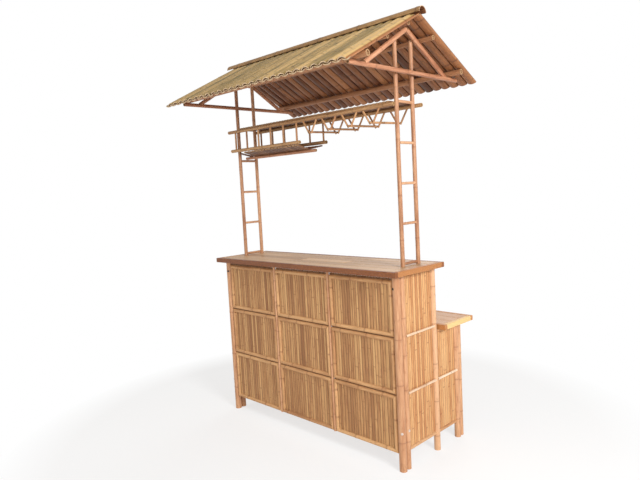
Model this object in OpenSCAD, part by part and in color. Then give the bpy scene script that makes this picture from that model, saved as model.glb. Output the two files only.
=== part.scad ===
// Bamboo tiki bar: a panelled counter with a lower serving shelf behind it, two ladder frames that
// stand on the counter, a pitched roof of split culms, and a rack for bottles and glasses.
// X runs along the bar, -Y is the customers' side, +Y the bartender's side, Z is up from the floor.

/* [Counter] */
// Height of the customers' counter top above the floor
counter_h = 1070; // [950:5:1250]
// Length of both counter tops
counter_len = 1532; // [1500:2:1900]
// Depth of the customers' counter top, front to back
counter_depth = 442; // [410:2:560]
// Overhang of the customers' counter in front of the corner posts' centres
counter_overhang = 69; // [40:1:120]
// Thickness of the boards of both counter tops
board_t = 29; // [18:1:45]
// Height of the serving shelf's top above the floor
shelf_h = 714; // [600:2:860]
// Depth of the serving shelf, front to back
shelf_depth = 297; // [260:1:360]
// Space between the middle poles and the serving shelf's front edge
shelf_gap = 21; // [2:1:40]

/* [Base poles] */
// Distance between the centres of the left and right corner posts
post_spacing = 1432; // [1200:2:1480]
// Diameter of the two front corner posts
post_d = 44; // [34:1:60]
// Diameter of the poles of the side panels
side_pole_d = 38; // [28:1:50]
// Diameter of the short leg behind each back pole
rear_leg_d = 32; // [24:1:44]
// Distance from the corner posts to the middle poles, centre to centre
middle_pole_y = 322; // [280:1:345]
// Distance from the corner posts to the back poles, centre to centre
back_pole_y = 538; // [470:1:570]

/* [Panels] */
// Height of the lowest rails' centre lines above the floor
rail_low_z = 102; // [60:1:200]
// Height of the middle rails' centre lines
rail_mid_z = 409; // [330:1:480]
// Height of the upper rails' centre lines
rail_high_z = 716; // [560:1:800]
// Space between the counter boards and the top of the front cell frames
front_top_gap = 25; // [19:1:60]
// Thickness of the slat panels
slat_t = 10; // [6:1:16]
// Width of the split culms that frame each front cell
frame_w = 22; // [14:1:32]
// Space between two stacked front cells
cell_gap = 6; // [3:1:14]
// Diameter of the two upright dividers of the front panel
divider_d = 18; // [12:1:26]
// Diameter of the bearer under the front of the counter
bearer_d = 16; // [10:1:18]
// Diameter of the thin rails of the side panels
side_rail_d = 14; // [8:1:18]
// Diameter of the lowest rails of the side panels
side_sill_d = 22; // [14:1:30]

/* [Ladder frames] */
// Distance between the left and right ladder frames, centre to centre
ladder_spacing = 1350; // [1150:1:1400]
// Distance between the front and back pole of a ladder frame, centre to centre
ladder_depth = 141; // [110:1:200]
// Diameter of the ladder poles
ladder_pole_d = 26; // [20:1:32]
// Height of the lowest rung above the counter top
rung_first = 15; // [12:1:60]
// Distance between rungs
rung_pitch = 213; // [180:1:225]
// Number of rungs on each ladder frame
rung_count = 5; // [3:1:5]
// Diameter of the rungs
rung_d = 16; // [10:1:20]

/* [Roof frame] */
// Height of the roof trusses' bottom chords above the counter top
chord_lift = 1016; // [990:2:1230]
// Length of the bottom chords, front to back
chord_len = 934; // [920:2:1060]
// Diameter of the chords and rafters
truss_d = 26; // [20:1:32]
// Rise of the rafters from the chord to the apex, between centre lines
truss_rise = 217; // [170:1:280]
// Distance from the middle of the roof to the rafters' feet
rafter_foot_y = 360; // [300:1:362]
// Diameter of the ridge pole
ridge_pole_d = 28; // [20:1:34]
// Length of the ridge pole
ridge_pole_len = 1440; // [1440:2:1700]
// Diameter of the two lower purlins, which lie on the ends of the chords
low_purlin_d = 34; // [30:1:40]
// Distance from the middle of the roof to the front lower purlin
front_low_purlin_y = 412; // [400:1:430]
// Distance from the middle of the roof to the back lower purlin
back_low_purlin_y = 400; // [392:1:430]
// Diameter of the front upper purlin
front_high_purlin_d = 22; // [14:1:26]
// Distance from the middle of the roof to the front upper purlin
front_high_purlin_y = 208; // [200:1:260]
// Diameter of the back upper purlin
back_high_purlin_d = 28; // [16:1:28]
// Distance from the middle of the roof to the back upper purlin
back_high_purlin_y = 130; // [130:1:220]
// Length of the lower purlins and of the back upper purlin
purlin_len = 1560; // [1480:2:1640]
// Length of the front upper purlin
short_purlin_len = 1480; // [1440:2:1560]

/* [Roof skin] */
// Length of the roof along the ridge
roof_len = 1580; // [1500:2:1900]
// Distance from the middle of the roof to each eave
eave_y = 555; // [500:1:640]
// Thickness of the skin of split culms
skin_t = 26; // [16:1:40]
// Outer diameter of the split culm that caps the ridge
cap_d = 64; // [60:1:100]
// Wall of the ridge cap
cap_wall = 5; // [3:1:8]
// Length of the ridge cap
cap_len = 1616; // [1500:2:2000]

/* [Rack] */
// Diameter of the rack's long rails
rack_rail_d = 24; // [16:1:26]
// How much longer the rack's top rails are than the distance between the ladder frames
rack_overrun = 75; // [50:1:110]
// How far the rack's middle lies to the left of the bar's middle
rack_shift = 16; // [0:1:20]
// How far the back half of the rack lies to the right of the front half
rack_stagger = 40; // [20:1:60]
// Height of the bottle shelf's low rails above its keel pole
shelf_rise = 51.7; // [45:0.1:70]
// Distance between the top rails and the low rails of the bottle shelf
rack_drop = 128; // [100:1:150]
// Length of the bottle shelf's low rails
bottle_shelf_len = 684; // [560:1:710]
// Distance from the end of a top rail to the end of the low rail under it
low_rail_inset = 23; // [5:1:30]
// Diameter of the balusters
baluster_d = 13; // [7:1:14]
// Number of balusters in each row
baluster_count = 6; // [3:1:6]
// Distance between balusters
baluster_pitch = 122; // [90:1:125]
// Distance from the right end of a low rail to the first baluster
baluster_inset = 24; // [16:1:40]
// Thickness of the slatted decks of the rack
deck_t = 9; // [5:1:12]
// Space between the ladder poles and the ends of the slatted decks
deck_gap = 12; // [4:1:30]
// Diameter of the keel pole that carries the bottle shelf's two slopes
keel_d = 20; // [14:1:24]
// How far the keel pole passes the left ladder frame
keel_overhang = 15; // [10:1:40]
// Number of glass hangers along the rack
hanger_count = 4; // [2:1:4]
// Distance from the bottle shelf to the first glass hanger
hanger_gap = 94; // [84:1:110]
// Distance between glass hangers
hanger_pitch = 157; // [145:1:160]
// Width of a hanger at the top, between the sticks' centres
hanger_top_w = 124; // [90:1:130]
// Space between the lower ends of a hanger's sticks
hanger_foot_gap = 6; // [2:1:10]
// Height of a hanger below the top rails
hanger_h = 76; // [60:1:100]
// Diameter of the hangers' sticks
stick_d = 11; // [6:1:11]
// Diameter of the glass runners
runner_d = 13; // [8:1:14]
// How far the runners pass the hangers
runner_overhang = 12; // [2:1:30]

/* [Hidden] */
$fn = 48;

// Clearance where a round pole lies against another piece
fit = 0.3;
LEFT = -1;
RIGHT = 1;
FRONT = -1;
BACK = 1;

bamboo = "burlywood";
bamboo_dark = "peru";
bamboo_pale = "wheat";
board_brown = "sienna";
skin_green = "darkkhaki";

// Base, in plan
post_x = post_spacing / 2;
post_y = -190;
front_pole_y = post_y + post_d / 2 + fit + side_pole_d / 2;
mid_y = post_y + middle_pole_y;
back_y = post_y + back_pole_y;
rear_leg_y = back_y + side_pole_d / 2 + fit + rear_leg_d / 2;
counter_front_y = post_y - counter_overhang;
shelf_front_y = mid_y + side_pole_d / 2 + shelf_gap;
counter_under = counter_h - board_t;
shelf_under = shelf_h - board_t;

// Front panel: three columns of three cells
columns = 3;
panel_half = post_x - post_d / 2 - fit;
divider_r = divider_d / 2;
frame_r = frame_w / 2;
cell_w = (2 * panel_half - (columns - 1) * (divider_d + 2 * fit)) / columns;
cell_pitch = cell_w + divider_d + 2 * fit;
slat_front_y = post_y - slat_t / 2;
divider_y = slat_front_y - frame_r + divider_r;
bearer_y = divider_y + divider_r + bearer_d / 2 + fit;
front_top_z = counter_under - front_top_gap;
lower_cell = [rail_low_z - frame_r, rail_mid_z - cell_gap / 2];
middle_cell = [rail_mid_z + cell_gap / 2, rail_high_z - cell_gap / 2];
upper_cell = [rail_high_z + cell_gap / 2, front_top_z];

// Side panels
side_sill_top = rail_low_z + side_sill_d / 2 + fit;
side_rail_x = post_x + slat_t / 2 + fit + side_rail_d / 2;

// Ladder frames
ladder_x = ladder_spacing / 2;
ladder_y = ladder_depth / 2;
pole_r = ladder_pole_d / 2;

// Trusses stand against the outer faces of the ladder poles
truss_r = truss_d / 2;
truss_x = ladder_x + pole_r + fit + truss_r;
rafter_angle = atan2(truss_rise, rafter_foot_y);
chord_z = counter_h + chord_lift;
apex_z = chord_z + truss_rise;
ladder_top_z = apex_z - ladder_y * tan(rafter_angle);

// Ridge pole and lower purlins set the two pitches of the skin
ridge_r = ridge_pole_d / 2;
ridge_z = apex_z + truss_r / cos(rafter_angle) + fit + ridge_r;
low_r = low_purlin_d / 2;
low_purlin_z = chord_z + truss_r + fit + low_r;
function pitch_over(purlin_y) =
    let (run = purlin_y, drop = ridge_z - low_purlin_z)
    atan2(drop, run) - asin((low_r - ridge_r) / norm([run, drop]));
front_pitch = pitch_over(front_low_purlin_y);
back_pitch = pitch_over(back_low_purlin_y);
function skin_under_z(y, pitch) = ridge_z + (ridge_r + fit) / cos(pitch) - y * tan(pitch);
function hung_purlin_z(y, d, pitch) = skin_under_z(y, pitch) - (d / 2 + fit) / cos(pitch);
function skin_top_z(y, pitch) = skin_under_z(y, pitch) + skin_t / cos(pitch);
cap_inner_r = cap_d / 2 - cap_wall;
cap_z = max(skin_top_z(cap_inner_r, front_pitch), skin_top_z(cap_inner_r, back_pitch)) + fit;

// Rack: a front half and a back half, each with its own middle
rail_r = rack_rail_d / 2;
rack_y = ladder_y + pole_r + fit + rail_r;
rack_len = ladder_spacing + rack_overrun;
function rack_mid_x(face) = -rack_shift + face * rack_stagger / 2;
function rack_left_x(face) = rack_mid_x(face) - rack_len / 2;
function shelf_right_x(face) = rack_left_x(face) + low_rail_inset + bottle_shelf_len;
deck_x = ladder_x - pole_r - deck_gap;

// The keel lies on the last rung but one of the left ladder
keel_r = keel_d / 2;
keel_rung_z = counter_h + rung_first + (rung_count - 2) * rung_pitch;
keel_z = keel_rung_z + rung_d / 2 + fit + keel_r;

// Each slope of the bottle shelf lies on the keel and under a low rail
rack_low_z = keel_z + shelf_rise;
rack_top_z = rack_low_z + rack_drop;
shelf_pitch = atan2(shelf_rise, rack_y) - asin((keel_r + rail_r + 2 * fit + deck_t) / norm([rack_y, shelf_rise]));

// Glass hangers: the runner lies in the fork of the two sticks
stick_r = stick_d / 2;
foot_x = hanger_foot_gap / 2 + stick_r;
hanger_bottom_z = rack_top_z - rail_r - hanger_h;
hanger_lean = atan2(hanger_top_w / 2 - foot_x, rack_top_z - hanger_bottom_z);
runner_z = hanger_bottom_z + (stick_r + runner_d / 2 - foot_x * cos(hanger_lean)) / sin(hanger_lean);
runner_skew = atan2(rack_stagger, 2 * rack_y);

// Round pole along X from x0 to x1
module pole_x(x0, x1, y, z, d) {
    translate([x0, y, z]) rotate([0, 90, 0]) cylinder(h = x1 - x0, d = d);
}

// Round pole along Y from y0 to y1
module pole_y(y0, y1, x, z, d) {
    translate([x, y0, z]) rotate([-90, 0, 0]) cylinder(h = y1 - y0, d = d);
}

// Round pole along Z from z0 to z1
module pole_z(z0, z1, x, y, d) {
    translate([x, y, z0]) cylinder(h = z1 - z0, d = d);
}

// Block between two opposite corners
module block(low, high) {
    translate(low) cube(high - low);
}

module corner_post(side) {
    color(bamboo) pole_z(0, counter_under, side * post_x, post_y, post_d);
}

module side_poles(side) {
    color(bamboo) {
        pole_z(0, counter_under, side * post_x, front_pole_y, side_pole_d);
        pole_z(0, counter_under, side * post_x, mid_y, side_pole_d);
        pole_z(0, shelf_under, side * post_x, back_y, side_pole_d);
        pole_z(0, shelf_under, side * post_x, rear_leg_y, rear_leg_d);
    }
}

// Centre line of a front column, counted from the left
function column_x(column) = (column - (columns - 1) / 2) * cell_pitch;

module front_slat_panels() {
    color(bamboo_dark)
        for (column = [0 : columns - 1], span = [lower_cell, middle_cell, upper_cell])
            translate([column_x(column) - cell_w / 2, slat_front_y, span[0]])
                cube([cell_w, slat_t, span[1] - span[0]]);
}

// Half-round split culm of the given length, flat side on the XZ plane, along X from the origin
module split_culm(length) {
    rotate([0, 90, 0])
        linear_extrude(length)
            intersection() {
                circle(d = frame_w);
                translate([-frame_w, -frame_w]) square([2 * frame_w, frame_w]);
            }
}

// Picture frame of split culms around one cell
module cell_frame(width, height) {
    for (z = [frame_r, height - frame_r])
        translate([0, 0, z]) split_culm(width);
    for (x = [frame_r, width - frame_r])
        translate([x, 0, height]) rotate([0, 90, 0]) split_culm(height);
}

module front_frames(span) {
    color(bamboo)
        for (column = [0 : columns - 1])
            translate([column_x(column) - cell_w / 2, slat_front_y, span[0]])
                cell_frame(cell_w, span[1] - span[0]);
}

module front_dividers() {
    color(bamboo)
        for (column = [0 : columns - 2])
            pole_z(lower_cell[0], counter_under, column_x(column) + cell_pitch / 2, divider_y, divider_d);
}

module counter_bearer() {
    color(bamboo_pale)
        difference() {
            pole_x(-post_x, post_x, bearer_y, counter_under - fit - bearer_d / 2, bearer_d);
            for (side = [LEFT, RIGHT])
                pole_z(0, counter_under, side * post_x, post_y, post_d + 2 * fit);
        }
}

module side_slats(side) {
    front_edge = front_pole_y + side_pole_d / 2 + fit;
    color(bamboo_dark) {
        block([side * post_x - slat_t / 2, front_edge, side_sill_top],
              [side * post_x + slat_t / 2, mid_y - side_pole_d / 2 - fit, counter_under]);
        block([side * post_x - slat_t / 2, mid_y + side_pole_d / 2 + fit, side_sill_top],
              [side * post_x + slat_t / 2, back_y - side_pole_d / 2 - fit, shelf_under]);
    }
}

// Rails of one side panel, coped to the poles that they run between
module side_rails(side) {
    rail_x = side * side_rail_x;
    color(bamboo_pale)
        difference() {
            union() {
                pole_y(front_pole_y, mid_y, rail_x, rail_high_z, side_rail_d);
                pole_y(front_pole_y, back_y, rail_x, rail_mid_z, side_rail_d);
                pole_y(front_pole_y, back_y, side * post_x, rail_low_z, side_sill_d);
            }
            for (y = [front_pole_y, mid_y, back_y])
                pole_z(0, counter_under, side * post_x, y, side_pole_d + 2 * fit);
        }
}

module counter_top() {
    color(board_brown)
        block([-counter_len / 2, counter_front_y, counter_under],
              [counter_len / 2, counter_front_y + counter_depth, counter_h]);
}

module serving_shelf() {
    color(board_brown)
        block([-counter_len / 2, shelf_front_y, shelf_under],
              [counter_len / 2, shelf_front_y + shelf_depth, shelf_h]);
}

module ladder_pole(side, face) {
    color(bamboo) pole_z(counter_h, ladder_top_z, side * ladder_x, face * ladder_y, ladder_pole_d);
}

module ladder_rungs(side) {
    color(bamboo_pale)
        difference() {
            for (rung = [0 : rung_count - 1])
                pole_y(-ladder_y, ladder_y, side * ladder_x,
                       counter_h + rung_first + rung * rung_pitch, rung_d);
            for (face = [FRONT, BACK])
                pole_z(0, apex_z, side * ladder_x, face * ladder_y, ladder_pole_d + 2 * fit);
        }
}

// Everything above the underside of one slope, less the clearance
module over_underside(face, pitch) {
    translate([-roof_len / 2, 0, skin_under_z(0, pitch) - fit])
        scale([1, face, 1])
            rotate([90, 0, 90])
                linear_extrude(roof_len)
                    polygon([
                        [0, 0],
                        [chord_len, -chord_len * tan(pitch)],
                        [chord_len, chord_len],
                        [0, chord_len]
                    ]);
}

// Bottom chord, with its ends trimmed under the skin
module truss_chord(side) {
    color(bamboo_dark)
        difference() {
            pole_y(-chord_len / 2, chord_len / 2, side * truss_x, chord_z, truss_d);
            over_underside(FRONT, front_pitch);
            over_underside(BACK, back_pitch);
        }
}

// Rafter from the apex down to the chord: plumb cut at the apex, saddled on the chord
module rafter(side, face) {
    reach = truss_rise + rafter_foot_y;
    color(bamboo)
        difference() {
            intersection() {
                translate([side * truss_x, 0, apex_z])
                    rotate([face * (-90 - rafter_angle), 0, 0])
                        translate([0, 0, -truss_d]) cylinder(h = reach, d = truss_d);
                scale([1, face, 1])
                    block([side * truss_x - truss_d, fit / 2, chord_z],
                          [side * truss_x + truss_d, reach, apex_z + truss_d]);
            }
            pole_y(-reach, reach, side * truss_x, chord_z, truss_d + 2 * fit);
        }
}

module ridge_pole() {
    color(bamboo) pole_x(-ridge_pole_len / 2, ridge_pole_len / 2, 0, ridge_z, ridge_pole_d);
}

// Lower purlin, which lies on the ends of both chords
module low_purlin(y) {
    color(bamboo) pole_x(-purlin_len / 2, purlin_len / 2, y, low_purlin_z, low_purlin_d);
}

// Upper purlin, which hangs under the skin
module high_purlin(face, y, length, d, pitch) {
    color(bamboo) pole_x(-length / 2, length / 2, face * y, hung_purlin_z(y, d, pitch), d);
}

module front_high_purlin() {
    high_purlin(FRONT, front_high_purlin_y, short_purlin_len, front_high_purlin_d, front_pitch);
}

module back_high_purlin() {
    high_purlin(BACK, back_high_purlin_y, purlin_len, back_high_purlin_d, back_pitch);
}

// One slope of the skin, from a plumb joint at the ridge down to the eave
module roof_slope(face, pitch) {
    top_z = skin_under_z(0, pitch);
    plumb_t = skin_t / cos(pitch);
    color(skin_green)
        translate([-roof_len / 2, 0, top_z])
            scale([1, face, 1])
                rotate([90, 0, 90])
                    linear_extrude(roof_len)
                        polygon([
                            [fit / 2, 0],
                            [eave_y, -eave_y * tan(pitch)],
                            [eave_y, -eave_y * tan(pitch) + plumb_t],
                            [fit / 2, plumb_t]
                        ]);
}

module ridge_cap() {
    color(skin_green)
        translate([-cap_len / 2, 0, cap_z])
            rotate([90, 0, 90])
                linear_extrude(cap_len)
                    difference() {
                        circle(d = cap_d);
                        circle(r = cap_inner_r);
                        translate([-cap_d, -cap_d]) square([2 * cap_d, cap_d]);
                    }
}

module rack_rail(face, length, left_x, z) {
    pole_x(left_x, left_x + length, face * rack_y, z, rack_rail_d);
}

module rack_top_rails() {
    color(bamboo)
        for (face = [FRONT, BACK])
            rack_rail(face, rack_len, rack_left_x(face), rack_top_z);
}

module bottle_shelf_rails() {
    color(bamboo)
        for (face = [FRONT, BACK])
            rack_rail(face, bottle_shelf_len, rack_left_x(face) + low_rail_inset, rack_low_z);
}

module bottle_shelf_keel() {
    color(bamboo_dark) pole_x(-ladder_x - keel_overhang, shelf_right_x(BACK), 0, keel_z, keel_d);
}

// Both slopes of the bottle shelf's floor, from a plumb joint over the keel out under the low rails
module bottle_shelf_floor() {
    under_z = (keel_r + fit) / cos(shelf_pitch);
    plumb_t = deck_t / cos(shelf_pitch);
    outer_y = rack_y + rail_r;
    color(bamboo_dark)
        for (face = [FRONT, BACK])
            translate([-deck_x, 0, keel_z + under_z])
                scale([1, face, 1])
                    rotate([90, 0, 90])
                        linear_extrude(deck_x + shelf_right_x(FRONT))
                            polygon([
                                [fit / 2, 0],
                                [outer_y, outer_y * tan(shelf_pitch)],
                                [outer_y, outer_y * tan(shelf_pitch) + plumb_t],
                                [fit / 2, plumb_t]
                            ]);
}

// Two rows of upright sticks, coped between the top rails and the low rails
module bottle_shelf_balusters() {
    color(bamboo_pale)
        for (face = [FRONT, BACK])
            difference() {
                for (stick = [0 : baluster_count - 1])
                    pole_z(rack_low_z, rack_top_z,
                           shelf_right_x(face) - baluster_inset - stick * baluster_pitch,
                           face * rack_y, baluster_d);
                for (z = [rack_low_z, rack_top_z])
                    pole_x(-rack_len, rack_len, face * rack_y, z, rack_rail_d + 2 * fit);
            }
}

module rack_top_deck() {
    deck_z = rack_top_z + rail_r + fit;
    color(bamboo_dark) block([-deck_x, -rack_y, deck_z], [deck_x, rack_y, deck_z + deck_t]);
}

// Middle of a glass hanger, counted from the bottle shelf
function hanger_x(face, hanger) = shelf_right_x(face) + hanger_gap + hanger * hanger_pitch;

// The two slanted sticks of one hanger, thicker by the given clearance all round
module hanger_sticks(face, hanger, clearance) {
    length = norm([hanger_top_w / 2 - foot_x, rack_top_z - hanger_bottom_z]);
    for (side = [LEFT, RIGHT])
        translate([hanger_x(face, hanger) + side * foot_x, face * rack_y, hanger_bottom_z])
            rotate([0, side * hanger_lean, 0]) cylinder(h = length, d = stick_d + 2 * clearance);
}

module glass_hangers(face) {
    color(bamboo_pale)
        difference() {
            for (hanger = [0 : hanger_count - 1])
                hanger_sticks(face, hanger, 0);
            pole_x(-rack_len, rack_len, face * rack_y, rack_top_z, rack_rail_d + 2 * fit);
        }
}

// Runners, each from the fork of a front hanger to the fork of the back hanger behind it
module glass_runners() {
    runner_half = norm([rack_stagger / 2, rack_y]) + runner_overhang;
    color(bamboo_pale)
        difference() {
            for (hanger = [0 : hanger_count - 1])
                translate([(hanger_x(FRONT, hanger) + hanger_x(BACK, hanger)) / 2, 0, 0])
                    rotate([0, 0, -runner_skew])
                        pole_y(-runner_half, runner_half, 0, runner_z, runner_d);
            for (face = [FRONT, BACK], hanger = [0 : hanger_count - 1])
                hanger_sticks(face, hanger, fit);
        }
}

corner_post(LEFT);  // corner_post_left
corner_post(RIGHT);  // corner_post_right
side_poles(LEFT);  // side_poles_left
side_poles(RIGHT);  // side_poles_right
front_slat_panels();
front_frames(upper_cell);  // front_frames_upper
front_frames(middle_cell);  // front_frames_middle
front_frames(lower_cell);  // front_frames_lower
front_dividers();
counter_bearer();
side_slats(LEFT);  // side_slats_left
side_slats(RIGHT);  // side_slats_right
side_rails(LEFT);  // side_rails_left
side_rails(RIGHT);  // side_rails_right
counter_top();
serving_shelf();
ladder_pole(LEFT, FRONT);  // ladder_front_pole_left
ladder_pole(RIGHT, FRONT);  // ladder_front_pole_right
ladder_pole(LEFT, BACK);  // ladder_back_pole_left
ladder_pole(RIGHT, BACK);  // ladder_back_pole_right
ladder_rungs(LEFT);  // ladder_rungs_left
ladder_rungs(RIGHT);  // ladder_rungs_right
truss_chord(LEFT);  // truss_chord_left
truss_chord(RIGHT);  // truss_chord_right
rafter(LEFT, FRONT);  // front_rafter_left
rafter(RIGHT, FRONT);  // front_rafter_right
rafter(LEFT, BACK);  // back_rafter_left
rafter(RIGHT, BACK);  // back_rafter_right
ridge_pole();
low_purlin(-front_low_purlin_y);  // front_low_purlin
front_high_purlin();
low_purlin(back_low_purlin_y);  // back_low_purlin
back_high_purlin();
roof_slope(FRONT, front_pitch);  // roof_front
roof_slope(BACK, back_pitch);  // roof_back
ridge_cap();
rack_top_rails();
bottle_shelf_rails();
bottle_shelf_keel();
bottle_shelf_floor();
bottle_shelf_balusters();
rack_top_deck();
glass_hangers(FRONT);  // glass_hangers_front
glass_hangers(BACK);  // glass_hangers_back
glass_runners();
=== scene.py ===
"""Looks of the bamboo tiki bar: culms, slat panels, boards, split-culm roof, rack and fastenings.

Every piece takes its place from the boxes of the CAD nodes, in metres, +Z up, customers' side at -Y.
"""
import logging
import math
from dataclasses import dataclass
from enum import Enum

import bpy
import numpy as np
from mathutils import Matrix, Vector


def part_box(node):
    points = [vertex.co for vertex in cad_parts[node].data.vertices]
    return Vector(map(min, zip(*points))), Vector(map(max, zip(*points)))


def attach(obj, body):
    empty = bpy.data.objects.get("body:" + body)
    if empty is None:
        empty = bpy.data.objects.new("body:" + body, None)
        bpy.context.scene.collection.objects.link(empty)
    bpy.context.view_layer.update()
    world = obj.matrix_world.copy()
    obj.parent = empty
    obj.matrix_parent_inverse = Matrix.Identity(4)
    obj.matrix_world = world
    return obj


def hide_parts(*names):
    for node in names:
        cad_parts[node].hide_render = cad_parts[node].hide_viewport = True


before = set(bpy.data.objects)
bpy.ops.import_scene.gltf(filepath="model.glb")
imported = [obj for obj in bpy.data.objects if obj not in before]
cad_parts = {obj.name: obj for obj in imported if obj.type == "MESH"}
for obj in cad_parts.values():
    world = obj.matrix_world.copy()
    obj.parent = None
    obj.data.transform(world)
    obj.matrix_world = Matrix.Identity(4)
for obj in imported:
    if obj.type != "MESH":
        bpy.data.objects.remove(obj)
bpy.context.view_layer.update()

log = logging.getLogger("tiki_bar")
Box = tuple[Vector, Vector]
Colour = tuple[float, float, float]
Corner = tuple[float, float]
Piece = bpy.types.Object
Pole = tuple[Vector, Vector, float]
Row = tuple[float, float, float]
Socket = bpy.types.NodeSocket
X = Vector((1, 0, 0))
Y = Vector((0, 1, 0))
Z = Vector((0, 0, 1))
UV_SCALE = 20.0
SEED_SPAN = 9973
TONE_SPREAD = 37.0
# Colour of painted shade in seams between boards, laid by each point's shade value.
PAINTED_SEAM_SHADE = (0.05, 0.02, 0.01)


class Side(Enum):
    """Which end of the bar a piece is on, as a customer sees it."""

    LEFT = -1
    RIGHT = 1

    @property
    def word(self) -> str:
        """Name used in the CAD nodes."""
        return self.name.lower()


class Cut(Enum):
    """How the end of a culm is finished."""

    HOLLOW = "hollow"
    SOLID = "solid"


# ---------------------------------------------------------------- materials


class NodeSheet:
    """Small helper that adds shader nodes to one material or world and joins them."""

    def __init__(self, owner: bpy.types.Material | bpy.types.World) -> None:
        """Empty the node tree but for its output.

        Args:
            owner: Material or world that has the tree.
        """
        owner.use_nodes = True
        self.tree = owner.node_tree
        self.tree.nodes.clear()
        world = isinstance(owner, bpy.types.World)
        self.out = self.add("ShaderNodeOutputWorld" if world else "ShaderNodeOutputMaterial").inputs["Surface"]

    def add(self, kind: str, **settings: object) -> bpy.types.Node:
        """Add a node and set its plain properties."""
        node = self.tree.nodes.new(kind)
        for key, value in settings.items():
            setattr(node, key, value)
        return node

    def join(self, source: Socket, target: Socket) -> None:
        """Join two sockets."""
        self.tree.links.new(source, target)

    def scale(self, value: Socket, factor: float) -> Socket:
        """Value times a number."""
        return self.math("MULTIPLY", value, factor)

    def seen(self) -> Socket:
        """One for rays of the camera, of reflections and through glass, and zero for the rest."""
        path = self.add("ShaderNodeLightPath").outputs
        mirrored = self.math("MAXIMUM", path["Is Glossy Ray"], path["Is Transmission Ray"])
        return self.math("MAXIMUM", path["Is Camera Ray"], mirrored)

    def blend(self, share: Socket, first: Socket, second: Socket) -> None:
        """Show two shaders mixed."""
        node = self.add("ShaderNodeMixShader")
        for socket, source in zip(node.inputs, (share, first, second)):
            self.join(source, socket)
        self.join(node.outputs[0], self.out)

    def attribute(self, name: str) -> Socket:
        """Value of a mesh attribute."""
        return self.add("ShaderNodeAttribute", attribute_name=name).outputs["Fac"]

    def grain_space(self, across: float, along: float) -> Socket:
        """Coordinates that follow a culm or board: u round it, v along it, w its own number.

        Args:
            across: Scale across the grain.
            along: Scale along the grain.

        Returns:
            The stretched coordinates.
        """
        uv = self.add("ShaderNodeUVMap", uv_map="UVMap")
        split = self.add("ShaderNodeSeparateXYZ")
        self.join(uv.outputs["UV"], split.inputs[0])
        join = self.add("ShaderNodeCombineXYZ")
        self.join(self.scale(split.outputs[0], across), join.inputs[0])
        self.join(self.scale(split.outputs[1], along), join.inputs[1])
        self.join(self.scale(self.attribute("tone"), TONE_SPREAD), join.inputs[2])
        return join.outputs[0]

    def math(self, how: str, first: Socket, second: object) -> Socket:
        """One math node; the second term is a number or a socket."""
        node = self.add("ShaderNodeMath", operation=how)
        self.join(first, node.inputs[0])
        if isinstance(second, (int, float)):
            node.inputs[1].default_value = float(second)
        else:
            self.join(second, node.inputs[1])
        return node.outputs[0]

    def noise(self, space: Socket, scale: float, detail: float = 4.0) -> Socket:
        """Noise value in the given coordinates."""
        node = self.add("ShaderNodeTexNoise")
        self.join(space, node.inputs["Vector"])
        node.inputs["Scale"].default_value = scale
        node.inputs["Detail"].default_value = detail
        return node.outputs[0]

    def ramp(self, value: Socket, stops: list[tuple[float, tuple[float, ...]]]) -> Socket:
        """Colour ramp through the given stops."""
        node = self.add("ShaderNodeValToRGB")
        band = node.color_ramp
        while len(band.elements) < len(stops):
            band.elements.new(0.5)
        for element, (place, colour) in zip(band.elements, stops):
            element.position = place
            element.color = (*colour, 1.0)
        self.join(value, node.inputs[0])
        return node.outputs[0]

    def step(self, value: Socket, low: float, high: float) -> Socket:
        """Value mapped from low..high to 0..1 and clamped."""
        node = self.add("ShaderNodeMapRange", clamp=True)
        self.join(value, node.inputs[0])
        node.inputs[1].default_value = low
        node.inputs[2].default_value = high
        return node.outputs[0]

    def mix(self, share: object, first: object, second: object) -> Socket:
        """Blend two colours; each is a socket or an RGB triple."""
        node = self.add("ShaderNodeMix", data_type="RGBA")
        for socket, value in ((node.inputs[0], share), (node.inputs[6], first), (node.inputs[7], second)):
            if isinstance(value, Socket):
                self.join(value, socket)
            elif isinstance(value, tuple):
                socket.default_value = (*value, 1.0)
            else:
                socket.default_value = value
        return node.outputs[2]


class SkinSheet(NodeSheet):
    """Sheet of a new material that has one principled shader."""

    def __init__(self, name: str) -> None:
        """Start the material.

        Args:
            name: Name of the material.
        """
        self.material = bpy.data.materials.new(name)
        super().__init__(self.material)
        self.shader = self.add("ShaderNodeBsdfPrincipled")
        self.join(self.shader.outputs["BSDF"], self.out)

    def feed(self, name: str, value: Socket | float) -> None:
        """Give the shader a number or a socket."""
        if isinstance(value, Socket):
            self.join(value, self.shader.inputs[name])
        else:
            self.shader.inputs[name].default_value = value

    def layers(self, base: Socket, coats: list[tuple[object, object]]) -> Socket:
        """Lay colours over a base, each by its own share."""
        for share, colour in coats:
            base = self.mix(share, base, colour)
        return base

    def bump(self, height: Socket, strength: float, distance: float) -> None:
        """Bump the surface by a height value."""
        node = self.add("ShaderNodeBump")
        node.inputs["Strength"].default_value = strength
        node.inputs["Distance"].default_value = distance
        self.join(height, node.inputs["Height"])
        self.feed("Normal", node.outputs[0])


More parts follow.
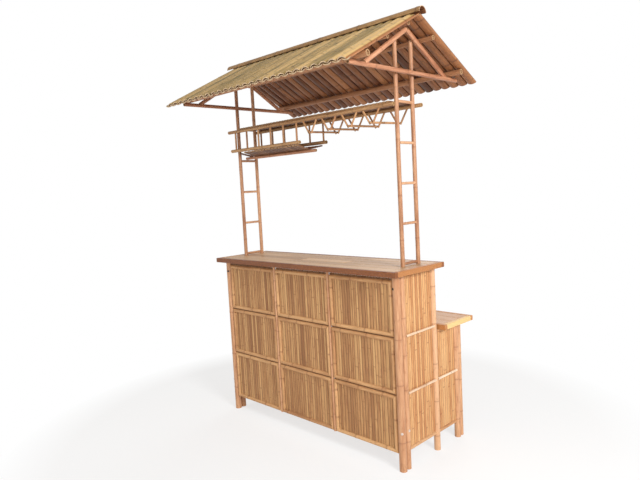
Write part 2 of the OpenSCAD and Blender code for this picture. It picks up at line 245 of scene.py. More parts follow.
@dataclass(frozen=True)
class Bamboo:
    """Finish of a culm, split or whole.

    Attributes:
        name: Name of the finish.
        pale: Colour of the light streaks of the skin.
        body: Main colour of the skin.
        dark: Colour of the dark streaks.
        ring: Colour of the scar at each node.
        cut: Colour of sawn ends and of the inside.
        streak: How strongly the streaks show.
        blotch: How much of the skin is stained.
        blotch_colour: Colour of the stains.
        roughness: Roughness of the skin.
    """

    name: str
    pale: Colour
    body: Colour
    dark: Colour
    ring: Colour = (0.20, 0.085, 0.035)
    cut: Colour = (0.55, 0.33, 0.17)
    streak: float = 0.6
    blotch: float = 0.3
    blotch_colour: Colour = (0.30, 0.12, 0.05)
    roughness: float = 0.42

    def make(self) -> bpy.types.Material:
        """Build the material."""
        sheet = SkinSheet(self.name)
        fine = sheet.noise(sheet.grain_space(7.0, 0.25), 3.0, 5.0)
        medium = sheet.noise(sheet.grain_space(1.7, 0.16), 2.0, 3.0)
        broad = sheet.noise(sheet.grain_space(2.0, 1.1), 1.6, 3.0)
        speck = sheet.noise(sheet.grain_space(14.0, 26.0), 2.2, 2.0)
        streaks = sheet.math("ADD", sheet.scale(fine, 0.5), sheet.scale(medium, 0.5))
        base = sheet.ramp(streaks, [(0.34, self.dark), (0.50, self.body), (0.66, self.pale)])
        tone = sheet.attribute("tone")
        # Painted shade: by each point's shade value it darkens slat edges, tucked slat ends, split-culm edges and
        # hollow culm ends.
        painted_shade = tuple(0.35 * c for c in self.ring)
        pith = sheet.ramp(fine, [(0.3, tuple(0.55 * c for c in self.cut)), (0.7, self.cut)])
        base = sheet.layers(base, [
            (1.0 - self.streak, self.body),
            (sheet.step(tone, 0.45, 1.15), self.pale),
            (sheet.step(tone, 0.5, -0.35), self.dark),
            (sheet.scale(sheet.step(broad, 0.56, 0.74), self.blotch), self.blotch_colour),
            (sheet.scale(sheet.step(speck, 0.68, 0.78), 0.35), self.ring),
            (sheet.scale(sheet.attribute("ring"), 0.75), self.ring),
            (sheet.scale(sheet.attribute("shade"), 0.8), painted_shade),
            (sheet.attribute("cut"), pith)])
        sheet.feed("Base Color", base)
        rough = sheet.math("ADD", sheet.scale(sheet.step(fine, 0.0, 1.0), 0.22), self.roughness)
        sheet.feed("Roughness", sheet.math("MAXIMUM", rough, sheet.attribute("cut")))
        sheet.feed("Specular IOR Level", 0.38)
        sheet.bump(fine, 0.25, 0.0010)
        return sheet.material


@dataclass(frozen=True)
class Board:
    """Finish of a planed and varnished board.

    Attributes:
        name: Name of the finish.
        pale: Colour between the growth lines.
        dark: Colour of the growth lines.
        worn: Colour of scuffed patches.
        wear: How much of the surface is scuffed.
        roughness: Roughness of the varnish.
    """

    name: str
    pale: Colour
    dark: Colour
    worn: Colour
    wear: float = 0.4
    roughness: float = 0.34

    def make(self) -> bpy.types.Material:
        """Build the material."""
        sheet = SkinSheet(self.name)
        wave = sheet.add("ShaderNodeTexWave", wave_type="BANDS", bands_direction="X")
        sheet.join(sheet.grain_space(1.0, 0.10), wave.inputs["Vector"])
        for name, value in (("Scale", 9.0), ("Distortion", 7.0), ("Detail", 3.0), ("Detail Scale", 1.3)):
            wave.inputs[name].default_value = value
        fibre = sheet.noise(sheet.grain_space(60.0, 3.0), 4.0, 4.0)
        patch = sheet.noise(sheet.grain_space(1.0, 1.0), 5.0, 4.0)
        line = sheet.math("ADD", sheet.scale(wave.outputs["Fac"], 0.6), sheet.scale(fibre, 0.4))
        base = sheet.ramp(line, [(0.22, self.dark), (0.50, self.pale), (0.78, self.dark)])
        tone = sheet.attribute("tone")
        sheet.feed("Base Color", sheet.layers(base, [
            (sheet.step(tone, 0.40, 1.30), self.pale),
            (sheet.step(tone, 0.55, -0.30), self.dark),
            (sheet.scale(sheet.step(patch, 0.48, 0.70), self.wear), self.worn),
            # Painted shade in seams by the shade value; board points carry none, so it adds nothing here.
            (sheet.scale(sheet.attribute("shade"), 0.7), PAINTED_SEAM_SHADE)]))
        sheet.feed("Roughness", sheet.math("ADD", sheet.scale(patch, 0.3), self.roughness))
        sheet.feed("Specular IOR Level", 0.42)
        sheet.bump(line, 0.18, 0.0012)
        return sheet.material


@dataclass(frozen=True)
class Plain:
    """Even finish with a little mottling, for screws and caps."""

    name: str
    colour: Colour
    metallic: float = 0.0
    roughness: float = 0.5

    def make(self) -> bpy.types.Material:
        """Build the material."""
        sheet = SkinSheet(self.name)
        mottle = sheet.noise(sheet.add("ShaderNodeTexCoord").outputs["Object"], 90.0)
        dim = tuple(0.6 * c for c in self.colour)
        sheet.feed("Base Color", sheet.ramp(mottle, [(0.3, dim), (0.7, self.colour)]))
        sheet.feed("Metallic", self.metallic)
        sheet.feed("Roughness", self.roughness)
        sheet.bump(mottle, 0.15, 0.0005)
        return sheet.material


BASE_CULM = Bamboo("base_culm_skin", (0.76, 0.46, 0.26), (0.62, 0.33, 0.175), (0.38, 0.16, 0.07),
                   ring=(0.30, 0.11, 0.05), streak=0.9, blotch=0.4, roughness=0.34)
LADDER_CULM = Bamboo("ladder_culm_skin", (0.78, 0.47, 0.27), (0.56, 0.28, 0.145), (0.26, 0.10, 0.045),
                     ring=(0.25, 0.09, 0.04), streak=1.0, blotch=0.45, roughness=0.32)
ROOF_POLE = Bamboo("roof_pole_skin", (0.70, 0.38, 0.22), (0.50, 0.22, 0.115), (0.27, 0.09, 0.04),
                   ring=(0.20, 0.07, 0.03), streak=1.0, blotch=0.45, roughness=0.34)
PURLIN = Bamboo("purlin_skin", (0.52, 0.26, 0.125), (0.36, 0.155, 0.07), (0.19, 0.07, 0.03), streak=0.9)
RACK_CULM = Bamboo("rack_culm_skin", (0.62, 0.38, 0.18), (0.46, 0.25, 0.11), (0.24, 0.105, 0.042),
                   ring=(0.13, 0.055, 0.02), cut=(0.55, 0.33, 0.15), streak=1.0, blotch=0.45)
RACK_STICK = Bamboo("rack_stick_skin", (0.66, 0.40, 0.20), (0.50, 0.25, 0.11), (0.27, 0.105, 0.045), streak=0.9)
FRAME_CULM = Bamboo("cell_frame_skin", (0.72, 0.43, 0.20), (0.58, 0.305, 0.13), (0.34, 0.15, 0.06),
                    ring=(0.28, 0.10, 0.04), streak=0.9, blotch=0.4)
THIN_CULM = Bamboo("thin_culm_skin", (0.93, 0.80, 0.64), (0.84, 0.64, 0.46), (0.52, 0.29, 0.16), streak=0.8)
SILL_CULM = Bamboo("sill_culm_skin", (0.74, 0.46, 0.25), (0.60, 0.32, 0.15), (0.38, 0.16, 0.065), streak=0.9)
FRONT_SLAT = Bamboo("front_slat_skin", (0.66, 0.38, 0.165), (0.51, 0.26, 0.105), (0.31, 0.14, 0.055),
                    ring=(0.28, 0.115, 0.045), streak=1.0, blotch=0.5, blotch_colour=(0.38, 0.15, 0.07),
                    roughness=0.5)
SIDE_SLAT = Bamboo("side_slat_skin", (0.78, 0.47, 0.22), (0.66, 0.335, 0.135), (0.42, 0.165, 0.06),
                   ring=(0.24, 0.06, 0.022), streak=1.0, blotch=0.45, blotch_colour=(0.50, 0.17, 0.065),
                   roughness=0.46)
ROOF_SKIN = Bamboo("roof_culm_skin", (0.66, 0.43, 0.17), (0.37, 0.235, 0.075), (0.13, 0.10, 0.028),
                   ring=(0.12, 0.065, 0.02), cut=(0.84, 0.61, 0.38), streak=1.0, blotch=0.5,
                   blotch_colour=(0.11, 0.115, 0.032), roughness=0.42)
CAP_SKIN = Bamboo("ridge_cap_skin", (0.58, 0.35, 0.15), (0.40, 0.22, 0.085), (0.18, 0.09, 0.03),
                  ring=(0.10, 0.045, 0.02), cut=(0.62, 0.40, 0.24), streak=1.0, blotch=0.4,
                  blotch_colour=(0.13, 0.10, 0.035), roughness=0.42)
ROOF_LINING = Bamboo("roof_lining", (0.46, 0.20, 0.08), (0.235, 0.085, 0.033), (0.085, 0.028, 0.011),
                     ring=(0.07, 0.022, 0.01), cut=(0.74, 0.51, 0.30), streak=1.0, blotch=0.45,
                     blotch_colour=(0.10, 0.06, 0.02), roughness=0.36)
COUNTER_FACE = Board("counter_boards", (0.74, 0.48, 0.26), (0.42, 0.23, 0.105), (0.64, 0.45, 0.29), wear=0.5)
# The counter's edging is painted dark, as the shade that falls on its front edge.
COUNTER_EDGE = Board("counter_edging", (0.34, 0.115, 0.03), (0.13, 0.036, 0.010), (0.40, 0.15, 0.042), wear=0.35)
END_EDGE = Board("counter_end_edging", (0.55, 0.24, 0.075), (0.33, 0.12, 0.035), (0.60, 0.28, 0.10), wear=0.35)
SHELF_FACE = Board("shelf_boards", (0.82, 0.52, 0.29), (0.56, 0.29, 0.145), (0.74, 0.50, 0.32), wear=0.4)
SHELF_EDGE = Board("shelf_edging", (0.66, 0.31, 0.11), (0.44, 0.17, 0.05), (0.70, 0.37, 0.15), wear=0.4)
PALE_EDGE = Board("shelf_end_edging", (0.92, 0.66, 0.30), (0.74, 0.44, 0.16), (0.90, 0.68, 0.36), wear=0.4)
SCREW = Plain("screw_heads", (0.80, 0.68, 0.60), metallic=0.1, roughness=0.4)
DARK = Plain("sunk_screw", (0.045, 0.028, 0.02), metallic=0.0, roughness=0.8)


class Finishes:
    """Builds each finish once and hands it out."""

    def __init__(self) -> None:
        """Start with no finish made."""
        self.made: dict[str, bpy.types.Material] = {}

    def get(self, finish: Bamboo | Board | Plain) -> bpy.types.Material:
        """Material of a finish, built the first time it is asked for."""
        if finish.name not in self.made:
            self.made[finish.name] = finish.make()
        return self.made[finish.name]


FINISHES = Finishes()


# ---------------------------------------------------------------- geometry

# Rows of a node: place from its middle, radius factor or swell, and how dark the scar is. The places of a whole
# culm are in widths of its node.
CULM_NODE = ((-2.6, 0.955, 0.0), (-1.0, 0.975, 0.15), (-0.35, 1.0, 0.5), (0.0, 0.965, 1.0), (0.35, 0.992, 0.45),
             (1.0, 0.968, 0.1), (2.6, 0.95, 0.0))
SLAT_NODE = ((-0.006, 0.0, 0.0), (-0.002, 0.8, 0.35), (0.0, 0.3, 0.9), (0.002, 0.6, 0.3), (0.006, 0.0, 0.0))
SPLIT_NODE = ((-0.010, 0.0, 0.0), (-0.003, 0.9, 0.4), (0.0, 0.2, 1.0), (0.003, 0.8, 0.4), (0.010, 0.0, 0.0))


class Shape:
    """Gathers vertices and faces of one piece, with the values that its finish reads."""

    def __init__(self) -> None:
        """Start empty."""
        self.points: list[tuple[float, ...]] = []
        self.values: list[tuple[float, float, float, float]] = []
        self.faces: list[tuple[int, ...]] = []
        self.uvs: list[Corner] = []
        self.slots: list[int] = []
        self.smooth: list[bool] = []

    def point(self, place: Vector, tone: float, ring: float = 0.0, cut: float = 0.0, shade: float = 0.0) -> int:
        """Add a vertex and return its number."""
        self.points.append(tuple(place))
        self.values.append((tone, ring, cut, shade))
        return len(self.points) - 1

    def face(self, corners: list[int], uvs: list[Corner], slot: int = 0, smooth: bool = True) -> None:
        """Add a face with its texture corners."""
        self.faces.append(tuple(corners))
        self.uvs.extend(uvs)
        self.slots.append(slot)
        self.smooth.append(smooth)

    def turned(self, corners: list[int], uvs: list[Corner], flip: bool, slot: int = 0, smooth: bool = False) -> None:
        """Add a face, turned over when flip is set."""
        self.face(corners[::-1] if flip else corners, uvs[::-1] if flip else uvs, slot, smooth)

    def skin(self, grid: list[list[int]], along: list[float], across: list[float], flip: bool,
             kinds: list[tuple[int, bool]]) -> None:
        """Join rows of points into a closed skin.

        Args:
            grid: Point numbers, row by row.
            along: Texture place of each row.
            across: Texture place of each point of a row.
            flip: Whether the faces are turned over.
            kinds: Slot and smoothness of the face after each point of a row.
        """
        size = len(across)
        for j in range(len(grid) - 1):
            v0, v1 = along[j], along[j + 1]
            for k, (slot, smooth) in enumerate(kinds):
                n = (k + 1) % size
                quad = [grid[j][k], grid[j][n], grid[j + 1][n], grid[j + 1][k]]
                uv = [(across[k], v0), (across[n], v0), (across[n], v1), (across[k], v1)]
                self.turned(quad, uv, flip, slot, smooth)

    def sawn(self, ring: list[int], tone: float) -> list[int]:
        """Copy a row of points as the edge of a sawn end."""
        return [self.point(Vector(self.points[i]), tone, 0.0, 1.0) for i in ring]

    def piece(self, name: str, record_slot: str, finishes: list[object], nodes: list[str]) -> Piece:
        """Turn the shape into a piece that rides on the bar.

        Args:
            name: Name of the piece.
            record_slot: Material slot of the record; not used.
            finishes: Finishes, in the order of the faces' slots.
            nodes: CAD nodes that the piece stands for.

        Returns:
            The finished object.
        """
        mesh = bpy.data.meshes.new(name)
        mesh.from_pydata(self.points, [], self.faces)
        layer = mesh.uv_layers.new(name="UVMap")
        layer.data.foreach_set("uv", np.array(self.uvs, np.float32).ravel())
        table = np.array(self.values, np.float32)
        for column, key in enumerate(("tone", "ring", "cut", "shade")):
            mesh.attributes.new(key, "FLOAT", "POINT").data.foreach_set("value", table[:, column].copy())
        mesh.polygons.foreach_set("material_index", np.array(self.slots, np.int32))
        mesh.polygons.foreach_set("use_smooth", np.array(self.smooth, bool))
        for finish in finishes:
            mesh.materials.append(FINISHES.get(finish))
        mesh.validate()
        mesh.update()
        made = bpy.data.objects.new(name, mesh)
        bpy.context.scene.collection.objects.link(made)
        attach(made, "root")
        if nodes:
            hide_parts(*nodes)
        return made


def frame_along(start: Vector, end: Vector) -> tuple[Vector, Vector, Vector, float]:
    """Unit vectors of a pole.

    Args:
        start: First end.
        end: Second end.

    Returns:
        Direction, two vectors across it, and the length.
    """
    along = (end - start)
    length = along.length
    along.normalize()
    up = Vector((0, 0, 1)) if abs(along.z) < 0.9 else Vector((0, -1, 0))
    first = along.cross(up).normalized()
    second = first.cross(along).normalized()
    return along, first, second, length


@dataclass
class CulmMaker:
    """Makes whole culms with nodes, bow and sawn ends.

    Attributes:
        sides: Facets round a culm.
        node_gap: Usual distance between nodes, in culm diameters.
        rng: Random draws.
    """

    sides: int
    node_gap: float
    rng: np.random.Generator

    def stations(self, length: float, radius: float) -> list[Row]:
        """Places along a culm with the radius factor and ring value at each."""
        gap = self.node_gap * 2 * radius
        at = self.rng.uniform(0.25, 0.9) * gap
        nodes: list[float] = []
        while at < length - 0.6 * radius:
            nodes.append(at)
            at += gap * self.rng.uniform(0.8, 1.25)
        rows: list[Row] = [(0.0, 0.965, 0.0)]
        w = max(0.004, 0.22 * radius)
        for n in nodes:
            if n < 3 * w or n > length - 3 * w:
                continue
            rows += [(n + at * w, factor, ring) for at, factor, ring in CULM_NODE]
        rows.append((length, 0.955, 0.0))
        rows.sort()
        full: list[Row] = [rows[0]]
        for row in rows[1:]:
            span = row[0] - full[-1][0]
            if span < 1e-4:
                continue
            extra = int(span // 0.12)
            full += [(row[0] - span * (extra + 1 - k) / (extra + 1), 0.955, 0.0) for k in range(1, extra + 1)]
            full.append(row)
        return full

    def add(self, shape: Shape, start: Vector, end: Vector, radius: float, cut: Cut = Cut.HOLLOW,
            bow: float = 0.0) -> None:
        """Add one culm to a shape.

        Args:
            shape: Shape that takes it.
            start: First end.
            end: Second end.
            radius: Largest radius, at the nodes.
            cut: Finish of the ends.
            bow: How far the middle leaves the straight line; kept inside the radius given.
        """
        sides = self.sides
        along, first, second, length = frame_along(start, end)
        tone = float(self.rng.normal(0.5, 0.16))
        turn = self.rng.uniform(0, 2 * math.pi)
        lean = Vector((math.cos(turn), math.sin(turn)))
        rings: list[list[int]] = []
        rows = self.stations(length, radius)
        radius = radius - abs(bow)
        for place, factor, ring in rows:
            t = place / length
            sway = bow * math.sin(math.pi * t)
            middle = start + along * place + (first * lean.x + second * lean.y) * sway
            row = []
            for k in range(sides):
                a = 2 * math.pi * k / sides
                wobble = 1.0 - 0.012 * (1 + math.sin(2 * a + turn))
                out = (first * math.cos(a) + second * math.sin(a)) * (radius * factor * wobble)
                row.append(shape.point(middle + out, tone, ring))
            rings.append(row)
        around = 2 * math.pi * radius * UV_SCALE
        for j in range(len(rows) - 1):
            v0, v1 = rows[j][0] * UV_SCALE, rows[j + 1][0] * UV_SCALE
            for k in range(sides):
                n = (k + 1) % sides
                u0, u1 = around * k / sides, around * (k + 1) / sides
                shape.face([rings[j][k], rings[j + 1][k], rings[j + 1][n], rings[j][n]],
                           [(u0, v0), (u0, v1), (u1, v1), (u1, v0)])
        self.end(shape, rings[0], along, radius, cut, tone)
        self.end(shape, rings[-1], -along, radius, cut, tone)

    def end(self, shape: Shape, ring: list[int], inward: Vector, radius: float, cut: Cut, tone: float) -> None:
        """Close one end: a sawn rim, and for a hollow culm a recess behind it, painted darker inside as shade."""
        sides = len(ring)
        # Each level: size, depth, pith share and painted shade; the hollow's recess is painted darker as shade.
        levels = [(0.97, 0.0, 1.0, 0.0)]
        if cut is Cut.HOLLOW:
            levels += [(0.66, 0.0, 1.0, 0.0), (0.64, 0.55 * radius, 0.8, 0.6), (0.05, 0.60 * radius, 0.6, 0.9)]
        else:
            levels += [(0.05, 0.0, 1.0, 0.0)]
        centre = sum((Vector(shape.points[i]) for i in ring), Vector()) / sides
        rows: list[list[int]] = []
        for factor, depth, pith, shade in levels:
            row = []
            for i in ring:
                spot = centre + (Vector(shape.points[i]) - centre) * factor + inward * depth
                row.append(shape.point(spot, tone, 0.0, pith, shade))
            rows.append(row)
        chain = [shape.sawn(ring, tone)] + rows
        flip = inward.dot(self.turn_of(shape, ring)) > 0
        for a, b in zip(chain, chain[1:]):
            for k in range(sides):
                n = (k + 1) % sides
                uv = [(k * 0.2, 0.0), (n * 0.2, 0.0), (n * 0.2, 0.2), (k * 0.2, 0.2)]
                shape.turned([a[k], a[n], b[n], b[k]], uv, flip)
        shape.turned(rows[-1], [(0.1, 0.1)] * sides, flip)

    @staticmethod
    def turn_of(shape: Shape, ring: list[int]) -> Vector:
        """Normal of a ring by the order of its points."""
        a, b, c = (Vector(shape.points[ring[k]]) for k in (0, len(ring) // 3, 2 * len(ring) // 3))
        return (b - a).cross(c - a).normalized()


@dataclass
class SlatMaker:
    """Makes split slats: a low arch across, nodes along, laid side by side.

    Attributes:
        width: Usual width of a slat.
        crown: Height of the arch of a slat.
        node_gap: Distance between nodes.
        rng: Random draws.
    """

    width: float
    crown: float
    node_gap: float
    rng: np.random.Generator

    def widths(self, total: float) -> list[float]:
        """Slat widths that fill a panel."""
        count = max(1, round(total / self.width))
        draw = self.rng.uniform(0.7, 1.3, count)
        return list(draw / draw.sum() * total)

    def fill(self, shape: Shape, origin: Vector, across: Vector, along: Vector, out: Vector,
             total: float, length: float, depth: float, gap: float, spread: float, two_faced: bool = True,
             skew: float = 0.0, tucked: Corner = (0.0, 0.0)) -> None:
        """Fill a panel with slats.

        Args:
            shape: Shape that takes them.
            origin: Corner of the panel, halfway through its thickness.
            across: Unit vector across the slats.
            along: Unit vector along the slats.
            out: Unit vector out of the good face.
            total: Width of the panel.
            length: Length of the slats.
            depth: Thickness of the panel.
            gap: Space between two slats.
            spread: Spread of the slats' colour numbers.
            two_faced: Whether the back is arched too.
            skew: How far a slat's far end shifts across.
            tucked: Length at each end that lies hidden behind a frame, where it is painted fully shaded.
        """
        at = 0.0
        for width in self.widths(total):
            tone = float(self.rng.normal(0.5, spread))
            lift = self.rng.uniform(0.0, 0.25) * self.crown
            self.slat(shape, origin + across * (at + gap / 2), across, along, out,
                      width - gap, length, depth, tone, lift, two_faced, skew, tucked)
            at += width

    def slat(self, shape: Shape, origin: Vector, across: Vector, along: Vector, out: Vector, width: float,
             length: float, depth: float, tone: float, lift: float, two_faced: bool, skew: float = 0.0,
             tucked: Corner = (0.0, 0.0)) -> None:
        """Add one slat, with nodes that swell it a little."""
        node = self.rng.uniform(0.1, 0.9) * self.node_gap
        rows: list[Row] = [(0.0, 0.0, 0.0)]
        while node < length - 0.012:
            rows += [(node + at, swell, ring) for at, swell, ring in SLAT_NODE]
            node += self.node_gap * self.rng.uniform(0.8, 1.3)
        rows.append((length, 0.0, 0.0))
        under, over = tucked
        dark_low, dark_high = under * 0.85, length - over * 0.85
        rows += [(place, 0.0, 0.0) for place in (dark_low, under) if under > 0]
        rows += [(place, 0.0, 0.0) for place in (length - over, dark_high) if over > 0]
        rows.sort()
        half = depth / 2
        crown = min(self.crown, half * 0.8)
        # Third number of each profile point is painted shade, darkest at the long edges where slats meet.
        profile = [(0.0, half - crown, 0.75), (0.09, half - 0.5 * crown, 0.1), (0.5, half, 0.0),
                   (0.91, half - 0.5 * crown, 0.1), (1.0, half - crown, 0.75)]
        back = [(1.0, -half + (crown if two_faced else 0.0), 0.75)]
        if two_faced:
            back += [(0.5, -half, 0.0)]
        back += [(0.0, -half + (crown if two_faced else 0.0), 0.75)]
        loop = profile + back
        grid: list[list[int]] = []
        for place, swell, ring in rows:
            # Tucked ends are painted fully shaded, as a dark line in the gap behind a frame.
            hidden = (under > 0 and place <= dark_low) or (over > 0 and place >= dark_high)
            row = []
            for share, height, shade in loop:
                h = height - lift - (0.0 if height < 0 else 0.12 * crown * (1 - swell))
                spot = origin + across * (share * width + skew * place / length) + along * place + out * h
                row.append(shape.point(spot, tone, ring, 0.0, 1.0 if hidden else shade))
            grid.append(row)
        flip = across.cross(along).dot(out) < 0
        edges = [share * width * UV_SCALE for share, _, _ in loop]
        shape.skin(grid, [row[0] * UV_SCALE for row in rows], edges, flip, [(0, k < 4) for k in range(len(loop))])
        for row, turn in ((grid[0], False), (grid[-1], True)):
            uv = [(edge, 0.02 * k) for k, edge in enumerate(edges)]
            shape.turned(shape.sawn(row, tone), uv, turn == flip)


def middle(box: Box) -> Vector:
    """Middle of a box."""
    return (box[0] + box[1]) / 2


def hand_number(name: str) -> int:
    """Seed that belongs to a name."""
    return sum((i + 1) * ord(c) for i, c in enumerate(name)) % SEED_SPAN


def sweep(shape: Shape, origin: Vector, along: Vector, across: Vector, up: Vector, length: float,
          outer: list[Corner], inner: list[Corner], tone: float, nodes: list[float],
          slots: tuple[int, int] = (0, 0), mitre: float = 0.0, swell: float = 0.0012, rim: float = 0.25) -> None:
    """Sweep a split-culm section along a line.

    Args:
        shape: Shape that takes it.
        origin: Start of the line.
        along: Unit vector along it.
        across: Unit vector across the section.
        up: Unit vector out of the skin.
        length: Length of the piece.
        outer: Section of the skin side, as across and up distances.
        inner: Section of the inside, from the far edge back.
        tone: Colour number of the piece.
        nodes: Distances of the nodes along it.
        slots: Material slots of the skin side and the inside.
        mitre: One when both ends are cut at 45 degrees towards larger distances across.
        swell: Height of the nodes.
        rim: How much painted shade darkens the long edges.
    """
    rows: list[Row] = [(0.0, 0.0, 0.0)]
    for n in nodes:
        if 0.02 < n < length - 0.02:
            rows += [(n + at, lift, ring) for at, lift, ring in SPLIT_NODE]
    rows.append((length, 0.0, 0.0))
    loop = [(x, h, True) for x, h in outer] + [(x, h, False) for x, h in inner]
    size = len(loop)
    last = len(outer) - 1
    low = min(x for x, _ in outer)
    grid: list[list[int]] = []
    for place, lift, ring in rows:
        row = []
        for k, (x, h, skin) in enumerate(loop):
            trim = mitre * (x - low)
            spot = min(max(place, trim), length - trim)
            height = h - (swell * (1.0 - lift) if skin else 0.0)
            # Painted shade along both long edges of the section.
            shade = rim if k in (0, last) else 0.0
            row.append(shape.point(origin + across * x + along * spot + up * height, tone, ring, 0.0, shade))
        grid.append(row)
    flip = across.cross(along).dot(up) < 0
    skins = [(loop[k][2], loop[(k + 1) % size][2]) for k in range(size)]
    kinds = [(slots[0] if here and there else slots[1], here == there) for here, there in skins]
    shape.skin(grid, [row[0] * UV_SCALE for row in rows], [x * UV_SCALE for x, _, _ in loop], flip, kinds)
    for row, turn in ((grid[0], False), (grid[-1], True)):
        cap = shape.sawn(row, tone)
        for k in range(size // 2 - 1):
            quad = [cap[k], cap[k + 1], cap[size - 2 - k], cap[size - 1 - k]]
            uv = [(0.02 * k, 0.0), (0.02 * k + 0.02, 0.0), (0.02 * k + 0.02, 0.1), (0.02 * k, 0.1)]
            shape.turned(quad, uv, turn == flip, slots[0])


def node_places(rng: np.random.Generator, length: float, gap: float) -> list[float]:
    """Distances of the nodes along one piece."""
    at = rng.uniform(0.1, 0.95) * gap
    places = []
    while at < length:
        places.append(at)
        at += gap * rng.uniform(0.8, 1.25)
    return places


def upright(x: float, y: float, low: float, high: float, radius: float) -> Pole:
    """Pole that stands at a place."""
    return Vector((x, y, low)), Vector((x, y, high)), radius


def box_pole(name: str, axis: int, radius: float | None = None) -> Pole:
    """Pole along the middle of a CAD box.

    Args:
        name: CAD node.
        axis: Axis that it follows.
        radius: Its radius; half the box across it when not given.

    Returns:
        Both ends and the radius.
    """
    low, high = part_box(name)
    start, end = middle((low, high)), middle((low, high))
    start[axis], end[axis] = low[axis], high[axis]
    across = 0 if axis == 2 else 2
    return start, end, (high[across] - low[across]) / 2 if radius is None else radius


def culm_piece(name: str, node: str, record_slot: str, finish: Bamboo, sides: int, node_gap: float,
               poles: list[Pole], cut: Cut = Cut.HOLLOW, bow: float = 0.0, seed: int | None = None) -> Piece:
    """Build the whole culms that stand for one CAD node.

    Args:
        name: Name of the piece.
        node: CAD node.
        record_slot: Material slot of the record.
        finish: Finish of the culms.
        sides: Facets round a culm.
        node_gap: Usual distance between nodes, in culm diameters.
        poles: Both ends and the radius of each culm.
        cut: Finish of the ends.
        bow: How far a culm's middle leaves the straight line.
        seed: Seed of the draws; the node's own number when not given.

    Returns:
        The finished piece.
    """
    maker = CulmMaker(sides, node_gap, np.random.default_rng(hand_number(node) if seed is None else seed))
    shape = Shape()
    for start, end, radius in poles:
        maker.add(shape, start, end, radius, cut, bow)
    return shape.piece(name, record_slot, [finish], [node])


# ---------------------------------------------------------------- sub-assemblies


@dataclass
class BaseFrame:
    """Poles that stand on the floor, with the thin rails between them.

    Attributes:
        post_r: Radius of the corner posts.
        pole_r: Radius of the side panels' poles.
        leg_r: Radius of the rear legs.
        rail_r: Radius of the thin side rails.
        sill_r: Radius of the lowest side rails.
        gap: Space between a culm and what it lies against.
        step: Distance from the serving shelf's edge to the middle pole's side.
        slat_half: Half the thickness of the side slats.
        frame_drop: How far the lower side rail lies under the middle frames' lower edge.
    """

    post_r: float = 0.022
    pole_r: float = 0.019
    leg_r: float = 0.016
    rail_r: float = 0.007
    sill_r: float = 0.011
    gap: float = 0.0003
    step: float = 0.021
    slat_half: float = 0.005
    frame_drop: float = 0.003

    def pole_places(self, side: Side) -> tuple[float, float, float, float, float]:
        """X of a side panel and Y of its front, middle and back pole and its rear leg."""
        low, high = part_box(f"side_poles_{side.word}")
        rear = high.y - self.leg_r
        back = rear - self.leg_r - self.gap - self.pole_r
        shelf_low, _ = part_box("serving_shelf")
        return middle((low, high)).x, low.y + self.pole_r, shelf_low.y - self.step - self.pole_r, back, rear

    def build(self) -> list[Piece]:
        """Build every base pole, rail, divider and the bearer."""
        made = []
        for side in Side:
            post = f"corner_post_{side.word}"
            made.append(culm_piece(post + "_culm", post, "base_culm", BASE_CULM, 24, 6.3,
                                   [box_pole(post, 2, self.post_r)]))
            made += [self.side_poles(side), self.rails(side)]
        bearer = [box_pole("counter_bearer", 0)]
        made += [self.dividers(), culm_piece("counter_bearer_culm", "counter_bearer", "thin_culm", FRAME_CULM,
                                             12, 14.0, bearer, Cut.SOLID, seed=78)]
        return made

    def side_poles(self, side: Side) -> Piece:
        """Build the four poles of a side panel."""
        name = f"side_poles_{side.word}"
        _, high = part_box(name)
        shelf_low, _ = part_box("serving_shelf")
        x, front, mid, back, rear = self.pole_places(side)
        poles = [upright(x, front, 0, high.z, self.pole_r), upright(x, mid, 0, high.z, self.pole_r),
                 upright(x, back, 0, shelf_low.z, self.pole_r), upright(x, rear, 0, shelf_low.z, self.leg_r)]
        return culm_piece(name + "_culms", name, "base_culm", BASE_CULM, 22, 6.0, poles)

    def rails(self, side: Side) -> Piece:
        """Build the thin rails and the sill of a side panel."""
        name = f"side_rails_{side.word}"
        low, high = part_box(name)
        x, front, mid, back, _ = self.pole_places(side)
        outer = x + side.value * (self.slat_half + self.gap + self.rail_r)
        sill_z = low.z + self.sill_r
        high_z = high.z - self.rail_r
        frame_low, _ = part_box("front_frames_middle")
        mid_z = frame_low.z - self.frame_drop
        reach = self.pole_r * 0.6
        rails = Shape()
        sills = Shape()
        maker = CulmMaker(12, 16.0, np.random.default_rng(hand_number(name)))
        maker.add(rails, Vector((outer, front + reach, high_z)), Vector((outer, mid - reach, high_z)), self.rail_r,
                  Cut.SOLID)
        for start, end in ((front, mid), (mid, back)):
            maker.add(rails, Vector((outer, start + reach, mid_z)), Vector((outer, end - reach, mid_z)), self.rail_r,
                      Cut.SOLID)
            maker.add(sills, Vector((x, start + reach, sill_z)), Vector((x, end - reach, sill_z)), self.sill_r,
                      Cut.SOLID)
        sills.piece(name.replace("rails", "sills") + "_culms", "thin_culm", [SILL_CULM], [])
        return rails.piece(name + "_culms", "thin_culm", [THIN_CULM], [name])

    def dividers(self) -> Piece:
        """Build the two upright dividers of the front panel."""
        low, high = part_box("front_dividers")
        radius = (high.y - low.y) / 2
        y = middle((low, high)).y
        poles = [upright(x, y, low.z, high.z, radius) for x in (low.x + radius, high.x - radius)]
        return culm_piece("front_divider_culms", "front_dividers", "thin_culm", BASE_CULM, 14, 9.0, poles,
                          Cut.SOLID, seed=77)


